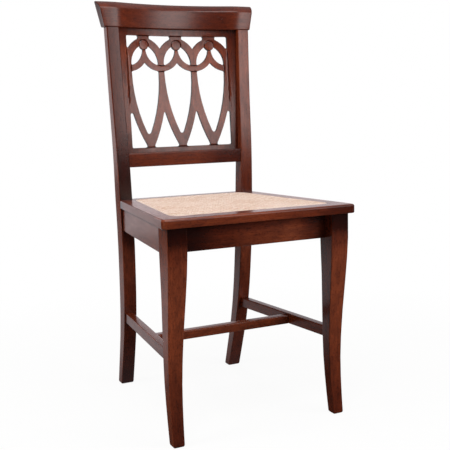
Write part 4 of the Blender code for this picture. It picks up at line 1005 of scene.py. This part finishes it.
@dataclass(frozen=True)
class SoftBox:
    """One square lamp with a white cloth in front, which glossy wood may mirror or not."""

    name: str
    place: Point
    aim: Point
    size: float
    power: float
    mirrored: bool = True

    def hang(self) -> None:
        """Hangs the lamp, out of every camera's sight."""
        data = bpy.data.lights.new(self.name, "AREA")
        data.size = self.size
        data.energy = self.power
        item = bpy.data.objects.new(self.name, data)
        item.location = self.place
        heading = Vector(self.aim) - Vector(self.place)
        item.rotation_euler = heading.to_track_quat("-Z", "Y").to_euler()
        item.visible_camera = False
        item.visible_glossy = self.mirrored
        bpy.context.scene.collection.objects.link(item)


@dataclass
class Studio:
    """A pale floor, a white backdrop behind the chair, and soft boxes all round it."""

    white: str = "#ffffff"
    floor_half: float = 6.0
    floor_paint: str = "#f4f3f1"
    floor_bounce: str = "#9a9896"
    floor_mirrored: str = "#454443"
    backdrop_mirrored: str = "#fbf9ff"
    # how much the floor glows under the chair, and over which distances it turns quite white
    glow_near: float = 0.93
    glow_span: Span = (0.3, 1.3)
    # how pale the mirrored floor is behind the chair, by shares of the reach, and where it starts
    sweep_reach: float = 4.0
    sweep: Stops = (
        (0.0125, 0.0), (0.125, 0.54), (0.41, 0.56), (0.50, 0.20), (0.59, 0.24), (0.68, 0.86))
    sweep_side: Span = (-1.05, -0.85)
    # levels of the room: its plain light, its mirrored front and its mirrored ceiling
    ambient: float = 0.10
    dark_front: float = 0.01
    ceiling: float = 0.46
    # where the mirrored backdrop and ceiling begin and end, as parts of a ray's direction
    backdrop_heading: Point = (0.438, 0.899, 0.0)
    backdrop_edge: Span = (0.52, 0.66)
    backdrop_top: Span = (0.38, 0.26)
    ceiling_edge: Span = (0.45, 0.70)
    boxes: tuple[SoftBox, ...] = (
        SoftBox("top_box", (0.05, -0.35, 1.45), (0.0, 0.05, 0.60), 0.50, 3.5),
        SoftBox("front_box", (-0.66, -0.94, 2.14), (0.0, 0.0, 0.50), 0.62, 15.0),
        SoftBox("side_box", (1.06, -2.08, 1.24), (0.0, 0.0, 0.60), 0.90, 10.0),
        SoftBox("low_box", (1.55, -1.45, 0.62), (0.0, 0.0, 0.45), 0.90, 22.0, mirrored=False),
        SoftBox("strip_box", (-1.75, -1.95, 0.62), (0.0, 0.0, 0.45), 0.36, 3.5),
        SoftBox("left_box", (-1.90, -0.10, 1.55), (0.0, 0.0, 0.45), 0.80, 22.0, mirrored=False),
        SoftBox("rear_box", (0.30, 2.30, 0.44), (0.0, 0.2, 0.50), 0.90, 26.0, mirrored=False),
    )

    def swept(self, tree: Tree, place: Socket) -> Socket:
        """Says how pale glossy wood mirrors the floor behind the chair.

        Args:
            tree: The floor's tree.
            place: The place on the floor.

        Returns:
            The share of white in what is mirrored.
        """
        spot = add_node(tree, "ShaderNodeSeparateXYZ", [place])
        reach = add_node(tree, "ShaderNodeMath", [spot.outputs["Y"], self.sweep_reach],
                         operation="DIVIDE").outputs[0]
        behind = add_node(tree, "ShaderNodeValToRGB", [reach])
        set_stops(behind.color_ramp, [(share, (level, level, level, 1.0))
                                      for share, level in self.sweep])
        inside = add_node(tree, "ShaderNodeMapRange", [
            spot.outputs["X"], *self.sweep_side]).outputs[0]
        return add_node(tree, "ShaderNodeMath", [behind.outputs["Color"], inside],
                        operation="MULTIPLY").outputs[0]

    def floor_material(self) -> bpy.types.Material:
        """Paints the floor, which is white to the eye, greyer as a bounce and dark in gloss.

        Returns:
            The material.
        """
        material, tree, output = blank_material("studio_floor")
        path = add_node(tree, "ShaderNodeLightPath")
        glossy = path.outputs["Is Glossy Ray"]
        place = add_node(tree, "ShaderNodeNewGeometry").outputs["Position"]
        away = add_node(tree, "ShaderNodeVectorMath", [place], operation="LENGTH").outputs["Value"]
        faint = add_node(tree, "ShaderNodeMapRange", [
            away, *self.glow_span, self.glow_near, 1.0]).outputs[0]
        mirrored = add_node(tree, "ShaderNodeMath", [glossy, self.swept(tree, place)],
                            operation="MULTIPLY").outputs[0]
        through = add_node(tree, "ShaderNodeMath", [
            path.outputs["Is Camera Ray"], path.outputs["Is Transmission Ray"]],
            operation="MAXIMUM").outputs[0]
        seen = add_node(tree, "ShaderNodeMath", [through, faint], operation="MULTIPLY").outputs[0]
        share = add_node(tree, "ShaderNodeMath", [mirrored, seen], operation="MAXIMUM").outputs[0]
        tone = add_node(tree, "ShaderNodeMix", {
            "Factor": glossy, COLOUR_A: linear(self.floor_bounce),
            COLOUR_B: linear(self.floor_mirrored)}, data_type="RGBA").outputs[MIXED]
        tone = add_node(tree, "ShaderNodeMix", {
            "Factor": through, COLOUR_A: tone, COLOUR_B: linear(self.floor_paint)},
            data_type="RGBA").outputs[MIXED]
        paint = add_node(tree, "ShaderNodeBsdfDiffuse", {"Color": tone}).outputs[0]
        shine = add_node(tree, "ShaderNodeMix", {
            "Factor": through, COLOUR_A: linear(self.backdrop_mirrored),
            COLOUR_B: linear(self.white)}, data_type="RGBA").outputs[MIXED]
        glow = add_node(tree, "ShaderNodeEmission", {"Color": shine, "Strength": 1.0}).outputs[0]
        both = add_node(tree, "ShaderNodeMixShader", [share, paint, glow]).outputs[0]
        tree.links.new(both, output.inputs["Surface"])
        return material

    def floor(self) -> None:
        """Lays the floor, which shows white and keeps a faint shadow."""
        mesh = bpy.data.meshes.new("studio_floor")
        half = self.floor_half
        mesh.from_pydata([(-half, -half, 0), (half, -half, 0), (half, half, 0), (-half, half, 0)],
                         [], [(0, 1, 2, 3)])
        item = bpy.data.objects.new("studio_floor", mesh)
        bpy.context.scene.collection.objects.link(item)
        dress(item, self.floor_material())

    def world(self) -> None:
        """Shows a white backdrop, which glossy wood mirrors only where it stands: behind."""
        world = bpy.data.worlds.new("studio")
        bpy.context.scene.world = world
        world.use_nodes = True
        tree = world.node_tree
        tree.nodes.clear()
        output = add_node(tree, "ShaderNodeOutputWorld")
        path = add_node(tree, "ShaderNodeLightPath")
        glossy = path.outputs["Is Glossy Ray"]
        seen = add_node(tree, "ShaderNodeMath", [
            path.outputs["Is Camera Ray"], path.outputs["Is Transmission Ray"]],
            operation="MAXIMUM").outputs[0]
        heading = add_node(tree, "ShaderNodeTexCoord").outputs["Generated"]
        height = add_node(tree, "ShaderNodeSeparateXYZ", [heading]).outputs["Z"]
        ahead = add_node(tree, "ShaderNodeVectorMath", [heading, self.backdrop_heading],
                         operation="DOT_PRODUCT").outputs["Value"]
        wide = add_node(tree, "ShaderNodeMapRange", [
            ahead, *self.backdrop_edge, self.dark_front, 1.0]).outputs[0]
        high = add_node(tree, "ShaderNodeMapRange", [
            height, *self.backdrop_top, self.dark_front, 1.0]).outputs[0]
        backdrop = add_node(tree, "ShaderNodeMath", [wide, high], operation="MULTIPLY").outputs[0]
        overhead = add_node(tree, "ShaderNodeMapRange", [
            height, *self.ceiling_edge, 0.0, self.ceiling]).outputs[0]
        mirrored = add_node(tree, "ShaderNodeMath", [backdrop, overhead],
                            operation="MAXIMUM").outputs[0]
        level = add_node(tree, "ShaderNodeMix", {
            "Factor": glossy, VALUE_A: self.ambient, VALUE_B: mirrored},
            data_type="FLOAT").outputs[0]
        paint = add_node(tree, "ShaderNodeMix", {
            "Factor": glossy, COLOUR_A: linear(self.white),
            COLOUR_B: linear(self.backdrop_mirrored)}, data_type="RGBA").outputs[MIXED]
        soft = add_node(tree, "ShaderNodeBackground", [paint, level]).outputs[0]
        clear = add_node(tree, "ShaderNodeBackground", [linear(self.white), 1.0]).outputs[0]
        both = add_node(tree, "ShaderNodeMixShader", [seen, soft, clear]).outputs[0]
        tree.links.new(both, output.inputs["Surface"])

    def build(self) -> None:
        """Sets up the studio."""
        self.floor()
        self.world()
        for box in self.boxes:
            box.hang()
        bpy.context.scene.view_settings.view_transform = "Standard"
        log.info("set up the studio")


@dataclass
class StudioCamera:
    """The camera, a little above the seat and to the chair's left."""

    place: Point = (-0.77241, -1.63707, 0.66159)
    yaw: float = math.radians(26.0)
    dip: float = math.radians(8.06)
    roll: float = math.radians(-1.31)
    focal_pixels: float = 817.05
    frame_pixels: float = 450.0
    sensor_mm: float = 36.0

    def build(self) -> None:
        """Sets up the camera."""
        level = math.cos(self.dip)
        ahead = Vector((math.sin(self.yaw) * level, math.cos(self.yaw) * level,
                        -math.sin(self.dip)))
        side = ahead.cross(Vector((0, 0, 1))).normalized()
        above = side.cross(ahead)
        right = side * math.cos(self.roll) + above * math.sin(self.roll)
        up = above * math.cos(self.roll) - side * math.sin(self.roll)
        data = bpy.data.cameras.new("studio_camera")
        data.sensor_width = self.sensor_mm
        data.lens = self.focal_pixels / self.frame_pixels * self.sensor_mm
        item = bpy.data.objects.new("studio_camera", data)
        turn = Matrix((right, up, -ahead)).transposed()
        item.matrix_world = Matrix.Translation(self.place) @ turn.to_4x4()
        bpy.context.scene.collection.objects.link(item)
        bpy.context.scene.camera = item


def main() -> None:
    """Builds the chair and its studio."""
    logging.basicConfig(level=logging.INFO, format="%(message)s")
    for item in list(bpy.data.objects):
        bpy.data.objects.remove(item, do_unlink=True)
    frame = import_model()
    StudioCamera().build()
    WoodFrame(frame["nodes"], StainedBeech(), SoftArris()).build()
    BlockScrews(frame["nodes"], PlatedSteel()).build()
    cane = Cane()
    WovenCane(cane).build()
    spline = frame["nodes"]["cane_spline"]
    dress(spline, cane.material("spline"))
    Studio().build()


if __name__ == "__main__":
    main()
